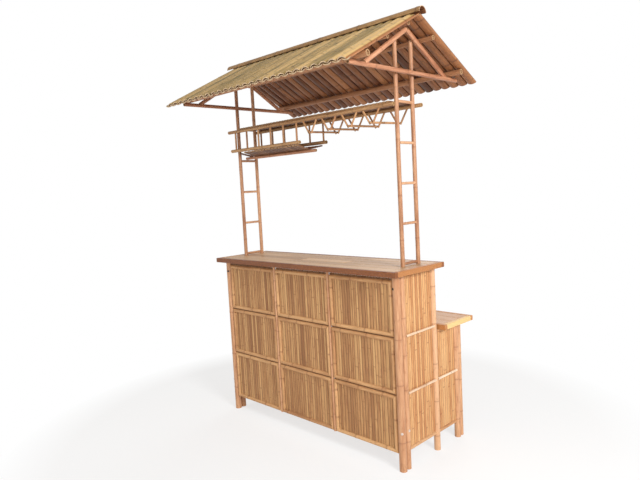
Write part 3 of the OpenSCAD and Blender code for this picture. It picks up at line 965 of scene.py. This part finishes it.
@dataclass
class FrontPanel:
    """Nine cells of upright slats, each in a mitred frame of split culms.

    Attributes:
        frame_w: Width of the split culms of the frames.
        divider_gap: Space from a divider's middle to the cell beside it.
        slat_w: Usual width of a slat.
        tuck: How far the slats pass a frame into the gap between two cells, where they are painted fully shaded.
        head: How far the top slats pass their frame under the counter, where they are painted fully shaded.
    """

    frame_w: float = 0.022
    divider_gap: float = 0.0093
    slat_w: float = 0.019
    tuck: float = 0.0029
    head: float = 0.010

    def columns(self) -> list[Corner]:
        """Left and right edge of each column of cells."""
        low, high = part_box("front_slat_panels")
        div_low, div_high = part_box("front_dividers")
        radius = (div_high.y - div_low.y) / 2
        first, second = div_low.x + radius, div_high.x - radius
        gap = self.divider_gap
        return [(low.x, first - gap), (first + gap, second - gap), (second + gap, high.x)]

    def build(self) -> list[Piece]:
        """Build the slats and the frames."""
        made = [self.slats()]
        for row in ("upper", "middle", "lower"):
            made.append(self.frames(row))
        return made

    def slats(self) -> Piece:
        """Build the slats of all nine cells."""
        low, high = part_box("front_slat_panels")
        y = middle((low, high)).y
        depth = high.y - low.y
        maker = SlatMaker(self.slat_w, 0.0020, 0.42, np.random.default_rng(23))
        shape = Shape()
        # Ends that pass a frame are painted fully shaded, as dark lines between cells and under the counter.
        tuck = {"upper": (self.tuck, self.head), "middle": (self.tuck, self.tuck), "lower": (0.0, self.tuck)}
        for row, (under, over) in tuck.items():
            z0, z1 = (corner.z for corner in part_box(f"front_frames_{row}"))
            for x0, x1 in self.columns():
                maker.fill(shape, Vector((x0, y, z0 - under)), X, Z, -Y, x1 - x0, z1 - z0 + under + over, depth,
                           gap=0.0008, spread=0.34, tucked=(under, over))
        return shape.piece("front_panel_slats", "split_slat", [FRONT_SLAT], ["front_slat_panels"])

    def section(self) -> tuple[list[Corner], list[Corner]]:
        """Half-round section of a frame culm, skin side and flat side."""
        r = self.frame_w / 2
        outer = [(r - r * math.cos(math.pi * k / 8), r * math.sin(math.pi * k / 8)) for k in range(9)]
        inner = [(r + r * math.cos(math.pi * k / 8) * 0.98, 0.0) for k in range(9)]
        return outer, inner

    def frames(self, row: str) -> Piece:
        """Build the three cell frames of one row."""
        name = f"front_frames_{row}"
        low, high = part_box(name)
        rng = np.random.default_rng(hand_number(name))
        outer, inner = self.section()
        shape = Shape()
        for x0, x1 in self.columns():
            width, height = x1 - x0, high.z - low.z
            sides = ((Vector((x0, high.y, high.z)), X, -Z, width), (Vector((x0, high.y, low.z)), X, Z, width),
                     (Vector((x0, high.y, low.z)), Z, X, height), (Vector((x1, high.y, low.z)), Z, -X, height))
            for origin, along, across, length in sides:
                tone = float(rng.normal(0.55, 0.2))
                places = node_places(rng, length, 0.20)
                sweep(shape, origin, along, across, -Y, length, outer, inner, tone, places, mitre=1.0,
                      swell=0.0016, rim=0.55)
        return shape.piece(name + "_culms", "frame_culm", [FRAME_CULM], [name])


@dataclass
class SidePanels:
    """Upright slats between the poles of each end.

    Attributes:
        slat_w: Usual width of a slat.
    """

    slat_w: float = 0.017

    def build(self, base: BaseFrame) -> list[Piece]:
        """Build both side panels.

        Args:
            base: Base frame, for the places of the poles.

        Returns:
            The two pieces.
        """
        made = []
        for side in Side:
            name = f"side_slats_{side.word}"
            low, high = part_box(name)
            shelf_low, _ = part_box("serving_shelf")
            x, _, mid, _, _ = base.pole_places(side)
            reach = base.pole_r + base.gap
            maker = SlatMaker(self.slat_w, 0.0016, 0.40, np.random.default_rng(hand_number(name)))
            shape = Shape()
            out = X * side.value
            depth = high.x - low.x
            for y0, y1, top in ((low.y, mid - reach, high.z), (mid + reach, high.y, shelf_low.z)):
                maker.fill(shape, Vector((x, y0, low.z)), Y, Z, out, y1 - y0, top - low.z, depth, gap=0.0008,
                           spread=0.26)
            made.append(shape.piece(f"side_panel_slats_{side.word}", "split_slat", [SIDE_SLAT], [name]))
        return made


@dataclass
class Tops:
    """Both counter tops: boards along the bar inside an edging.

    Attributes:
        edging: Width of the edging strips.
        bevel: Rounding of the arrises.
        seam: Space left at each side of a board's joint.
    """

    edging: float = 0.024
    bevel: float = 0.0022
    seam: float = 0.0011

    def build(self) -> list[Piece]:
        """Build the customers' counter and the serving shelf."""
        return [self.top("counter_top", "counter_board", [COUNTER_FACE, COUNTER_EDGE, END_EDGE], 5, 2),
                self.top("serving_shelf", "shelf_board", [SHELF_FACE, SHELF_EDGE, PALE_EDGE], 3, 2)]

    def plank(self, shape: Shape, low: Vector, high: Vector, along: Vector, tone: float, slot: int) -> None:
        """Add one board with bevelled arrises and its grain along it."""
        b = min(self.bevel, (high.z - low.z) / 4)
        lengthwise = abs(along.x) > 0.5
        u_axis = 1 if lengthwise else 0
        v_axis = 0 if lengthwise else 1
        levels = [(low.z, b), (low.z + b, 0.0), (high.z - b, 0.0), (high.z, b)]
        rings = []
        for z, inset in levels:
            corners = [(low.x + inset, low.y + inset), (high.x - inset, low.y + inset),
                       (high.x - inset, high.y - inset), (low.x + inset, high.y - inset)]
            rings.append([Vector((x, y, z)) for x, y in corners])

        def uv(p: Vector) -> tuple[float, float]:
            """Texture corner of a point."""
            return ((p[u_axis] - low[u_axis] + (high.z - p.z)) * UV_SCALE, (p[v_axis] - low[v_axis]) * UV_SCALE)

        def quad(points: list[Vector]) -> None:
            """Add one flat face."""
            ids = [shape.point(p, tone) for p in points]
            shape.face(ids, [uv(p) for p in points], slot, smooth=False)

        for lower, upper in zip(rings, rings[1:]):
            for k in range(4):
                n = (k + 1) % 4
                quad([lower[k], lower[n], upper[n], upper[k]])
        quad(rings[-1])
        quad(rings[0][::-1])

    def top(self, name: str, slot: str, finishes: list[Board], rows: int, joints: int) -> Piece:
        """Build one counter top from its CAD box."""
        low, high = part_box(name)
        rng = np.random.default_rng(hand_number(name))
        e, seam = self.edging, self.seam
        shape = Shape()
        width = (high.y - low.y - 2 * e) / rows
        for row in range(rows):
            y0 = low.y + e + row * width
            cuts = [low.x + e]
            span = high.x - low.x - 2 * e
            for k in range(1, joints + 1):
                cuts.append(low.x + e + span * (k / (joints + 1) + rng.uniform(-0.12, 0.12)))
            cuts.append(high.x - e)
            for x0, x1 in zip(cuts, cuts[1:]):
                drop = rng.uniform(0.0, 0.0006)
                self.plank(shape, Vector((x0 + seam, y0 + seam, low.z)),
                           Vector((x1 - seam, y0 + width - seam, high.z - drop)), X, float(rng.normal(0.5, 0.3)), 0)
        half = (low.x + high.x) / 2 - 0.01
        for x0, x1 in ((low.x, half), (half, high.x)):
            for y0, y1 in ((low.y, low.y + e), (high.y - e, high.y)):
                self.plank(shape, Vector((x0 + (seam if x0 == half else 0), y0, low.z)), Vector((x1, y1, high.z)), X,
                           float(rng.normal(0.45, 0.2)), 1)
        for x0, x1 in ((low.x, low.x + e), (high.x - e, high.x)):
            self.plank(shape, Vector((x0, low.y + e, low.z)), Vector((x1, high.y - e, high.z)), Y,
                       float(rng.normal(0.6, 0.1)), 2)
        return shape.piece(name + "_boards", slot, finishes, [name])


@dataclass
class Ladders:
    """Ladder frames that stand on the counter and carry the trusses.

    Attributes:
        rung_r: Radius of the rungs.
        rungs: Number of rungs on each ladder.
    """

    rung_r: float = 0.008
    rungs: int = 5

    def build(self) -> list[Piece]:
        """Build the four poles and both sets of rungs."""
        made = []
        for side in Side:
            for face in ("front", "back"):
                name = f"ladder_{face}_pole_{side.word}"
                made.append(culm_piece(name + "_culm", name, "ladder_culm", LADDER_CULM, 20, 9.5,
                                       [box_pole(name, 2)], Cut.SOLID, 0.0006))
            made.append(self.rung_set(side))
        return made

    def rung_set(self, side: Side) -> Piece:
        """Build the rungs of one ladder."""
        name = f"ladder_rungs_{side.word}"
        low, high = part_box(name)
        pitch = (high.z - low.z - 2 * self.rung_r) / (self.rungs - 1)
        x = middle((low, high)).x
        heights = [low.z + self.rung_r + k * pitch for k in range(self.rungs)]
        poles = [(Vector((x, low.y, z)), Vector((x, high.y, z)), self.rung_r) for z in heights]
        return culm_piece(name + "_culms", name, "thin_culm", LADDER_CULM, 14, 14.0, poles, Cut.SOLID)


@dataclass
class RoofFrame:
    """Trusses, ridge pole and purlins.

    Attributes:
        foot_y: Distance from the middle to a rafter's foot.
        rise: Height of the apex above the chords.
    """

    foot_y: float = 0.360
    rise: float = 0.217

    def build(self) -> list[Piece]:
        """Build both trusses and the lengthwise poles."""
        made = []
        for side in Side:
            made.append(self.lengthwise(f"truss_chord_{side.word}", 1, ROOF_POLE, 9.0))
            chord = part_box(f"truss_chord_{side.word}")
            at = middle(chord)
            radius = (chord[1].z - chord[0].z) / 2
            for face, turn in (("front", -1), ("back", 1)):
                name = f"{face}_rafter_{side.word}"
                apex = Vector((at.x, turn * 0.0006, at.z + self.rise))
                foot = Vector((at.x, turn * self.foot_y, at.z))
                reach = (foot - apex).normalized()
                end = foot - reach * (radius * 1.1)
                made.append(culm_piece(name + "_culm", name, "roof_pole", ROOF_POLE, 20, 9.0,
                                       [(end, apex + reach * 0.004, radius * 0.995)], Cut.SOLID))
        made.append(self.lengthwise("ridge_pole", 0, ROOF_POLE, 10.0))
        for name in ("front_low_purlin", "back_low_purlin", "back_high_purlin", "front_high_purlin"):
            made.append(self.lengthwise(name, 0, PURLIN, 8.0))
        return made

    def lengthwise(self, name: str, axis: int, finish: Bamboo, gap: float) -> Piece:
        """Build a culm along X or Y from its CAD box."""
        return culm_piece(name + "_culm", name, "roof_pole", finish, 20, gap, [box_pole(name, axis)], bow=0.0008)


@dataclass
class Roof:
    """Two slopes of interlocking split culms and the ridge cap.

    Attributes:
        pitch: Distance between neighbouring culms of one layer.
        half_w: Half the width of a split culm.
        thick: Thickness of the skin in the CAD model.
        wall: Wall of a split culm.
        cap_wall: Wall of the ridge cap.
        under_rise: Height of the arch of the lower culms, which lie hollow side up.
        over_rise: Height of the arch of the upper culms.
        drift: How much the culms pale from the left end to the right, per metre.
    """

    pitch: float = 0.0592
    half_w: float = 0.0270
    thick: float = 0.026
    wall: float = 0.0070
    cap_wall: float = 0.005
    under_rise: float = 0.0080
    over_rise: float = 0.0115
    drift: float = 0.28

    def build(self) -> list[Piece]:
        """Build both slopes and the cap."""
        return [self.slope("roof_front", -1), self.slope("roof_back", 1), self.cap()]

    def angle(self, box: Box) -> float:
        """Pitch of a slope from its CAD box."""
        run = box[1].y - box[0].y
        angle = 0.45
        for _ in range(20):
            angle = math.atan2(box[1].z - box[0].z - self.thick / math.cos(angle), run)
        return angle

    def arc(self, base: float, rise: float, hollow_up: bool) -> tuple[list[Corner], list[Corner]]:
        """Section of one split culm, skin side and inside."""
        outer, inner = [], []
        for k in range(9):
            x = -1 + k / 4
            h = rise * x * x if hollow_up else rise * (1 - x * x)
            outer.append((x * self.half_w, base + h + self.wall))
            inner.append((x * self.half_w * 0.97, base + h))
        return outer, inner[::-1]

    def slope(self, name: str, face: int) -> Piece:
        """Build one slope."""
        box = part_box(name)
        low, high = box
        angle = self.angle(box)
        rng = np.random.default_rng(hand_number(name))
        eave = high.y - low.y
        y0 = low.y if face < 0 else high.y
        along = Vector((0, -face * math.cos(angle), math.sin(angle)))
        up = Vector((0, face * math.sin(angle), math.cos(angle)))
        first = self.thick * math.tan(angle) + 0.001
        length = eave / math.cos(angle) - first
        count = round((high.x - low.x - 2 * self.half_w) / self.pitch)
        step = (high.x - low.x - 2 * self.half_w) / count
        left = low.x + self.half_w
        shape = Shape()
        for hollow_up, shift, number in ((True, 0, count + 1), (False, 0.5, count)):
            for k in range(number):
                self.culm(shape, rng, left + (k + shift) * step, y0, low.z, first, length, along, up, hollow_up)
        return shape.piece(name + "_split_culms", "roof_culm", [ROOF_SKIN, ROOF_LINING], [name])

    def culm(self, shape: Shape, rng: np.random.Generator, x: float, y0: float, z0: float, first: float,
             length: float, along: Vector, up: Vector, hollow_up: bool) -> None:
        """Add one split culm of a slope."""
        rise = self.under_rise if hollow_up else self.over_rise
        base = rng.uniform(0.0002, 0.0008) if hollow_up else self.thick - self.wall - rise - rng.uniform(0.0, 0.0008)
        outer, inner = self.arc(base, rise, hollow_up)
        late = rng.uniform(0.0, 0.004)
        tone = float(rng.normal(0.5, 0.28)) + self.drift * x
        origin = Vector((x, y0, z0)) + along * (first + late)
        sweep(shape, origin, along, X, up, length - late, outer, inner, tone,
              node_places(rng, length, 0.30), (0, 1), swell=0.0010, rim=0.55)

    def cap(self) -> Piece:
        """Build the split culm that covers the ridge."""
        low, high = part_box("ridge_cap")
        radius = (high.y - low.y) / 2
        inner_r = radius - self.cap_wall
        turns = [math.pi * k / 16 for k in range(17)]
        outer = [(-radius * math.cos(a), radius * math.sin(a)) for a in turns]
        inner = [(inner_r * math.cos(a), inner_r * math.sin(a)) for a in turns]
        rng = np.random.default_rng(91)
        shape = Shape()
        sweep(shape, Vector((low.x, middle((low, high)).y, low.z)), X, Y, Z, high.x - low.x, outer, inner, 0.35,
              node_places(rng, high.x - low.x, 0.33), (0, 1), swell=0.0016, rim=0.4)
        return shape.piece("ridge_cap_culm", "roof_culm", [CAP_SKIN, ROOF_LINING], ["ridge_cap"])


@dataclass
class Rack:
    """Rack for bottles and glasses between the ladder frames.

    Attributes:
        rail_r: Radius of the long rails.
        top_len: Length of a top rail.
        low_len: Length of a low rail.
        stick_r: Radius of the hangers' sticks.
        baluster_r: Radius of the balusters.
        balusters: Balusters in a row.
        baluster_pitch: Distance between balusters.
        baluster_inset: Distance from a low rail's end to the first baluster.
        hangers: Number of hangers.
        hanger_gap: Distance from the bottle shelf to the first hanger.
        hanger_pitch: Distance between hangers.
        hanger_top: Half the width of a hanger at the top rails' middle.
        foot: Half the distance between a hanger's sticks at the bottom.
        hanger_drop: Distance from the top rails' middle to the sticks' lower ends.
        deck_t: Thickness of the slatted decks.
        bedding: How far the slats settle on the culms that carry them.
        end_slat: Width of the bottle shelf's first slat.
        end_gap: Distance from the shelf's left end to the slats after it.
        lean: How far a slat of the shelf shifts along the bar at its far end.
    """

    rail_r: float = 0.012
    top_len: float = 1.425
    low_len: float = 0.684
    stick_r: float = 0.0055
    baluster_r: float = 0.0065
    balusters: int = 6
    baluster_pitch: float = 0.122
    baluster_inset: float = 0.024
    hangers: int = 4
    hanger_gap: float = 0.094
    hanger_pitch: float = 0.157
    hanger_top: float = 0.062
    foot: float = 0.0085
    hanger_drop: float = 0.088
    deck_t: float = 0.009
    bedding: float = 0.0014
    end_slat: float = 0.020
    end_gap: float = 0.045
    lean: float = 0.020

    def build(self) -> list[Piece]:
        """Build the whole rack."""
        made = [self.rails("rack_top_rails", self.top_len), self.rails("bottle_shelf_rails", self.low_len)]
        made.append(culm_piece("bottle_shelf_keel_culm", "bottle_shelf_keel", "rack_culm", ROOF_POLE, 16, 9.0,
                               [box_pole("bottle_shelf_keel", 0)], seed=63))
        return made + [self.floor(), self.deck(), self.baluster_rows(), self.hanger_row("front", -1),
                       self.hanger_row("back", 1), self.runners()]

    def halves(self, name: str, length: float) -> list[Row]:
        """Left end, right end and Y of the front and back rail of a node."""
        low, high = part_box(name)
        return [(low.x, low.x + length, low.y + self.rail_r), (high.x - length, high.x, high.y - self.rail_r)]

    def rails(self, name: str, length: float) -> Piece:
        """Build a pair of long rails."""
        z = middle(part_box(name)).z
        poles = [(Vector((left, y, z)), Vector((right, y, z)), self.rail_r)
                 for left, right, y in self.halves(name, length)]
        return culm_piece(name + "_culms", name, "rack_culm", RACK_CULM, 18, 9.0, poles, bow=0.0006)

    def floor(self) -> Piece:
        """Build the slats of the bottle shelf's two slopes."""
        low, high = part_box("bottle_shelf_floor")
        reach = high.y
        t = self.deck_t
        angle = 0.2
        for _ in range(20):
            angle = math.atan2(high.z - low.z - t / math.cos(angle), reach)
        rng = np.random.default_rng(8)
        shape = Shape()
        for face in (-1, 1):
            along = Vector((0, face * math.cos(angle), math.sin(angle)))
            up = Vector((0, -face * math.sin(angle), math.cos(angle)))
            maker = SlatMaker(0.034, 0.0022, 0.2, rng)
            bed = up * (t / 2 - self.bedding)
            start = low.x + self.end_gap
            run = (reach - t * math.sin(angle)) / math.cos(angle) - 0.002
            maker.slat(shape, Vector((low.x, face * 0.001, low.z)) + bed, X, along, up, self.end_slat, run, t,
                       0.4, 0.0, False)
            maker.fill(shape, Vector((start, face * 0.001, low.z)) + bed, X, along, up, high.x - start - 0.022,
                       run, t, gap=0.006, spread=0.45, two_faced=False, skew=self.lean)
        return shape.piece("bottle_shelf_floor_slats", "rack_culm", [PURLIN], ["bottle_shelf_floor"])

    def deck(self) -> Piece:
        """Build the slats that lie across the top rails."""
        low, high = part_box("rack_top_deck")
        shape = Shape()
        SlatMaker(0.026, 0.0022, 0.2, np.random.default_rng(9)).fill(
            shape, Vector((low.x, low.y, middle((low, high)).z - self.bedding)), X, Y, Z, high.x - low.x,
            high.y - low.y, high.z - low.z, gap=0.003, two_faced=False, spread=0.3)
        return shape.piece("rack_top_deck_slats", "rack_culm", [PURLIN], ["rack_top_deck"])

    def baluster_rows(self) -> Piece:
        """Build both rows of balusters."""
        low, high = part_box("bottle_shelf_balusters")
        poles = [upright(right - self.baluster_inset - k * self.baluster_pitch, y, low.z, high.z, self.baluster_r)
                 for _, right, y in self.halves("bottle_shelf_rails", self.low_len) for k in range(self.balusters)]
        return culm_piece("bottle_shelf_baluster_sticks", "bottle_shelf_balusters", "rack_culm", RACK_STICK,
                          12, 14.0, poles, Cut.SOLID, seed=31)

    def hanger_middles(self, row: int) -> list[float]:
        """X of the hangers of the front or back row."""
        right = self.halves("bottle_shelf_rails", self.low_len)[row][1]
        return [right + self.hanger_gap + k * self.hanger_pitch for k in range(self.hangers)]

    def hanger_row(self, word: str, face: int) -> Piece:
        """Build the forked hangers of one row."""
        name = f"glass_hangers_{word}"
        row = 0 if face < 0 else 1
        top_z = middle(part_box("rack_top_rails")).z
        y = self.halves("rack_top_rails", self.top_len)[row][2]
        bottom_z = top_z - self.hanger_drop
        share = (self.hanger_drop - self.rail_r * 0.75) / self.hanger_drop
        poles = []
        for x in self.hanger_middles(row):
            for side in (-1, 1):
                foot = Vector((x + side * self.foot, y, bottom_z + 0.002))
                head = Vector((x + side * self.hanger_top, y, top_z))
                poles.append((foot, foot + (head - foot) * share, self.stick_r))
        return culm_piece(name + "_sticks", name, "rack_culm", RACK_STICK, 12, 16.0, poles, Cut.SOLID)

    def runners(self) -> Piece:
        """Build the runners that lie in the forks."""
        low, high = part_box("glass_runners")
        z = middle((low, high)).z
        radius = (high.z - low.z) / 2
        fronts, backs = self.hanger_middles(0), self.hanger_middles(1)
        y = self.halves("rack_top_rails", self.top_len)[1][2]
        poles = []
        for left, right in zip(fronts, backs):
            way = Vector((right - left, 2 * y, 0)).normalized()
            poles.append((Vector((left, -y, z)) - way * 0.012, Vector((right, y, z)) + way * 0.012, radius * 0.98))
        return culm_piece("glass_runner_culms", "glass_runners", "rack_culm", RACK_STICK, 14, 12.0, poles, seed=41)


@dataclass
class Fastenings:
    """Screw heads that show on the corner posts and front poles.

    Attributes:
        radius: Radius of a screw head.
        height: Height of the lower screws above the floor.
        sunk_height: Height of the sunk screws at the top of the corner posts.
    """

    radius: float = 0.0075
    height: float = 0.21
    sunk_height: float = 0.975

    def build(self, base: BaseFrame) -> list[Piece]:
        """Build the screw heads of both ends."""
        shape = Shape()
        for side in Side:
            x, front, _, _, _ = base.pole_places(side)
            post = middle(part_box(f"corner_post_{side.word}"))
            turned = Vector((0.62 * side.value, -0.78, 0)).normalized()
            self.head(shape, Vector((post.x, post.y, self.height)), turned, base.post_r, 0)
            inner = Vector((-0.35 * side.value, -0.94, 0)).normalized()
            self.head(shape, Vector((post.x, post.y, self.sunk_height)), inner, base.post_r, 1)
            self.head(shape, Vector((x, front, self.height)), X * side.value, base.pole_r, 0)
        return [shape.piece("pole_screw_heads", "base_culm", [SCREW, DARK], [])]

    def head(self, shape: Shape, middle_of_pole: Vector, out: Vector, pole_r: float, slot: int) -> None:
        """Add one domed screw head on a pole."""
        across = Z.cross(out).normalized()
        centre = middle_of_pole + out * (pole_r * 0.955)
        rows = []
        for factor, lift in ((1.0, -0.0008), (0.92, 0.0006), (0.55, 0.0014), (0.05, 0.0017)):
            rows.append([shape.point(centre + out * lift + (across * math.cos(a) + Z * math.sin(a))
                                     * (self.radius * factor), 0.5)
                         for a in (2 * math.pi * k / 14 for k in range(14))])
        for a, b in zip(rows, rows[1:]):
            for k in range(14):
                n = (k + 1) % 14
                shape.face([a[k], a[n], b[n], b[k]], [(0, 0), (0.1, 0), (0.1, 0.1), (0, 0.1)], slot)
        shape.face(list(rows[-1]), [(0.1, 0.1)] * 14, slot)


# ---------------------------------------------------------------- stage


@dataclass
class Stage:
    """Pale floor, soft light and the camera.

    Attributes:
        eye: Place of the camera.
        right: Camera's right.
        up: Camera's up.
        lens: Focal length on a 36 mm wide sensor.
        floor_glow: Least share of plain white in the floor's paint.
        floor_half: Half the side of the floor.
        sky: Strength of the soft light from all round.
        aim: Height that the lamps look at.
    """

    eye: tuple[float, float, float] = (2.4789, -2.4771, 1.5023)
    right: tuple[float, float, float] = (0.70795, 0.70431, -0.05249)
    up: tuple[float, float, float] = (-0.02590, 0.10016, 0.99463)
    lens: float = 31.8
    floor_glow: float = 0.66
    floor_half: float = 9.0
    sky: float = 0.40
    aim: float = 1.15

    def build(self) -> None:
        """Set the floor, world, lamps and camera."""
        self.floor()
        self.world()
        self.lamp("key_light", (4.4, -1.3, 2.9), 1.3, 175.0)
        self.lamp("fill_light", (-2.2, -4.6, 2.4), 3.0, 44.0)
        self.lamp("low_light", (2.2, -3.2, 0.8), 1.6, 18.0)
        self.lamp("rear_light", (-1.5, 4.2, 3.6), 3.0, 60.0)
        self.camera()
        bpy.context.scene.view_settings.view_transform = "Standard"

    def floor(self) -> None:
        """Lay a pale floor under the bar."""
        mesh = bpy.data.meshes.new("studio_floor")
        s = self.floor_half
        mesh.from_pydata([(-s, -s, 0), (s, -s, 0), (s, s, 0), (-s, s, 0)], [], [(0, 1, 2, 3)])
        floor = bpy.data.objects.new("studio_floor", mesh)
        bpy.context.scene.collection.objects.link(floor)
        sheet = SkinSheet("studio_floor_paint")
        place = sheet.add("ShaderNodeTexCoord").outputs["Object"]
        cloud = sheet.noise(place, 0.7)
        sheet.feed("Base Color", sheet.ramp(cloud, [(0.3, (0.95, 0.95, 0.95)), (0.7, (0.97, 0.97, 0.97))]))
        sheet.feed("Roughness", 1.0)
        sheet.feed("Specular IOR Level", 0.0)
        far = sheet.add("ShaderNodeVectorMath", operation="LENGTH")
        sheet.join(place, far.inputs[0])
        reach = sheet.math("MAXIMUM", sheet.step(far.outputs["Value"], 0.9, 2.0), self.floor_glow)
        glow = sheet.add("ShaderNodeEmission").outputs[0]
        sheet.blend(sheet.math("MULTIPLY", reach, sheet.seen()), sheet.shader.outputs["BSDF"], glow)
        mesh.materials.append(sheet.material)

    def world(self) -> None:
        """White ground where it is seen and soft light for the bar."""
        world = bpy.data.worlds.new("studio_air")
        bpy.context.scene.world = world
        sheet = NodeSheet(world)
        grounds = []
        for colour, strength in (((1.0, 0.97, 0.93, 1.0), self.sky), ((1.0, 1.0, 1.0, 1.0), 1.0)):
            node = sheet.add("ShaderNodeBackground")
            node.inputs["Color"].default_value = colour
            node.inputs["Strength"].default_value = strength
            grounds.append(node.outputs[0])
        sheet.blend(sheet.seen(), *grounds)

    def lamp(self, name: str, place: tuple[float, float, float], size: float, power: float) -> None:
        """Add one soft lamp that looks at the bar."""
        light = bpy.data.lights.new(name, "AREA")
        light.shape = "SQUARE"
        light.size = size
        light.energy = power
        lamp = bpy.data.objects.new(name, light)
        bpy.context.scene.collection.objects.link(lamp)
        lamp.location = place
        lamp.rotation_euler = (Vector((0, 0, self.aim)) - Vector(place)).to_track_quat("-Z", "Y").to_euler()

    def camera(self) -> None:
        """Place the camera."""
        eye = bpy.data.cameras.new("studio_camera")
        eye.sensor_width = 36.0
        eye.lens = self.lens
        camera = bpy.data.objects.new("studio_camera", eye)
        bpy.context.scene.collection.objects.link(camera)
        right, up = Vector(self.right).normalized(), Vector(self.up).normalized()
        back = right.cross(up).normalized()
        turn = Matrix((right, up, back)).transposed().to_4x4()
        camera.matrix_world = Matrix.Translation(Vector(self.eye)) @ turn
        bpy.context.scene.camera = camera


def main() -> None:
    """Build the bar part by part, then the stage."""
    logging.basicConfig(level=logging.INFO, format="%(name)s: %(message)s")
    base = BaseFrame()
    steps = (("base frame", base.build), ("front panel", FrontPanel().build),
             ("side panels", lambda: SidePanels().build(base)), ("tops", Tops().build),
             ("ladders", Ladders().build), ("roof frame", RoofFrame().build), ("roof", Roof().build),
             ("rack", Rack().build), ("fastenings", lambda: Fastenings().build(base)))
    total = 0
    for word, build in steps:
        made = build()
        count = sum(sum(len(p.vertices) - 2 for p in piece.data.polygons) for piece in made)
        total += count
        log.info("%s: %d pieces, %d triangles", word, len(made), count)
    log.info("all pieces: %d triangles", total)
    Stage().build()


if __name__ == "__main__":
    main()
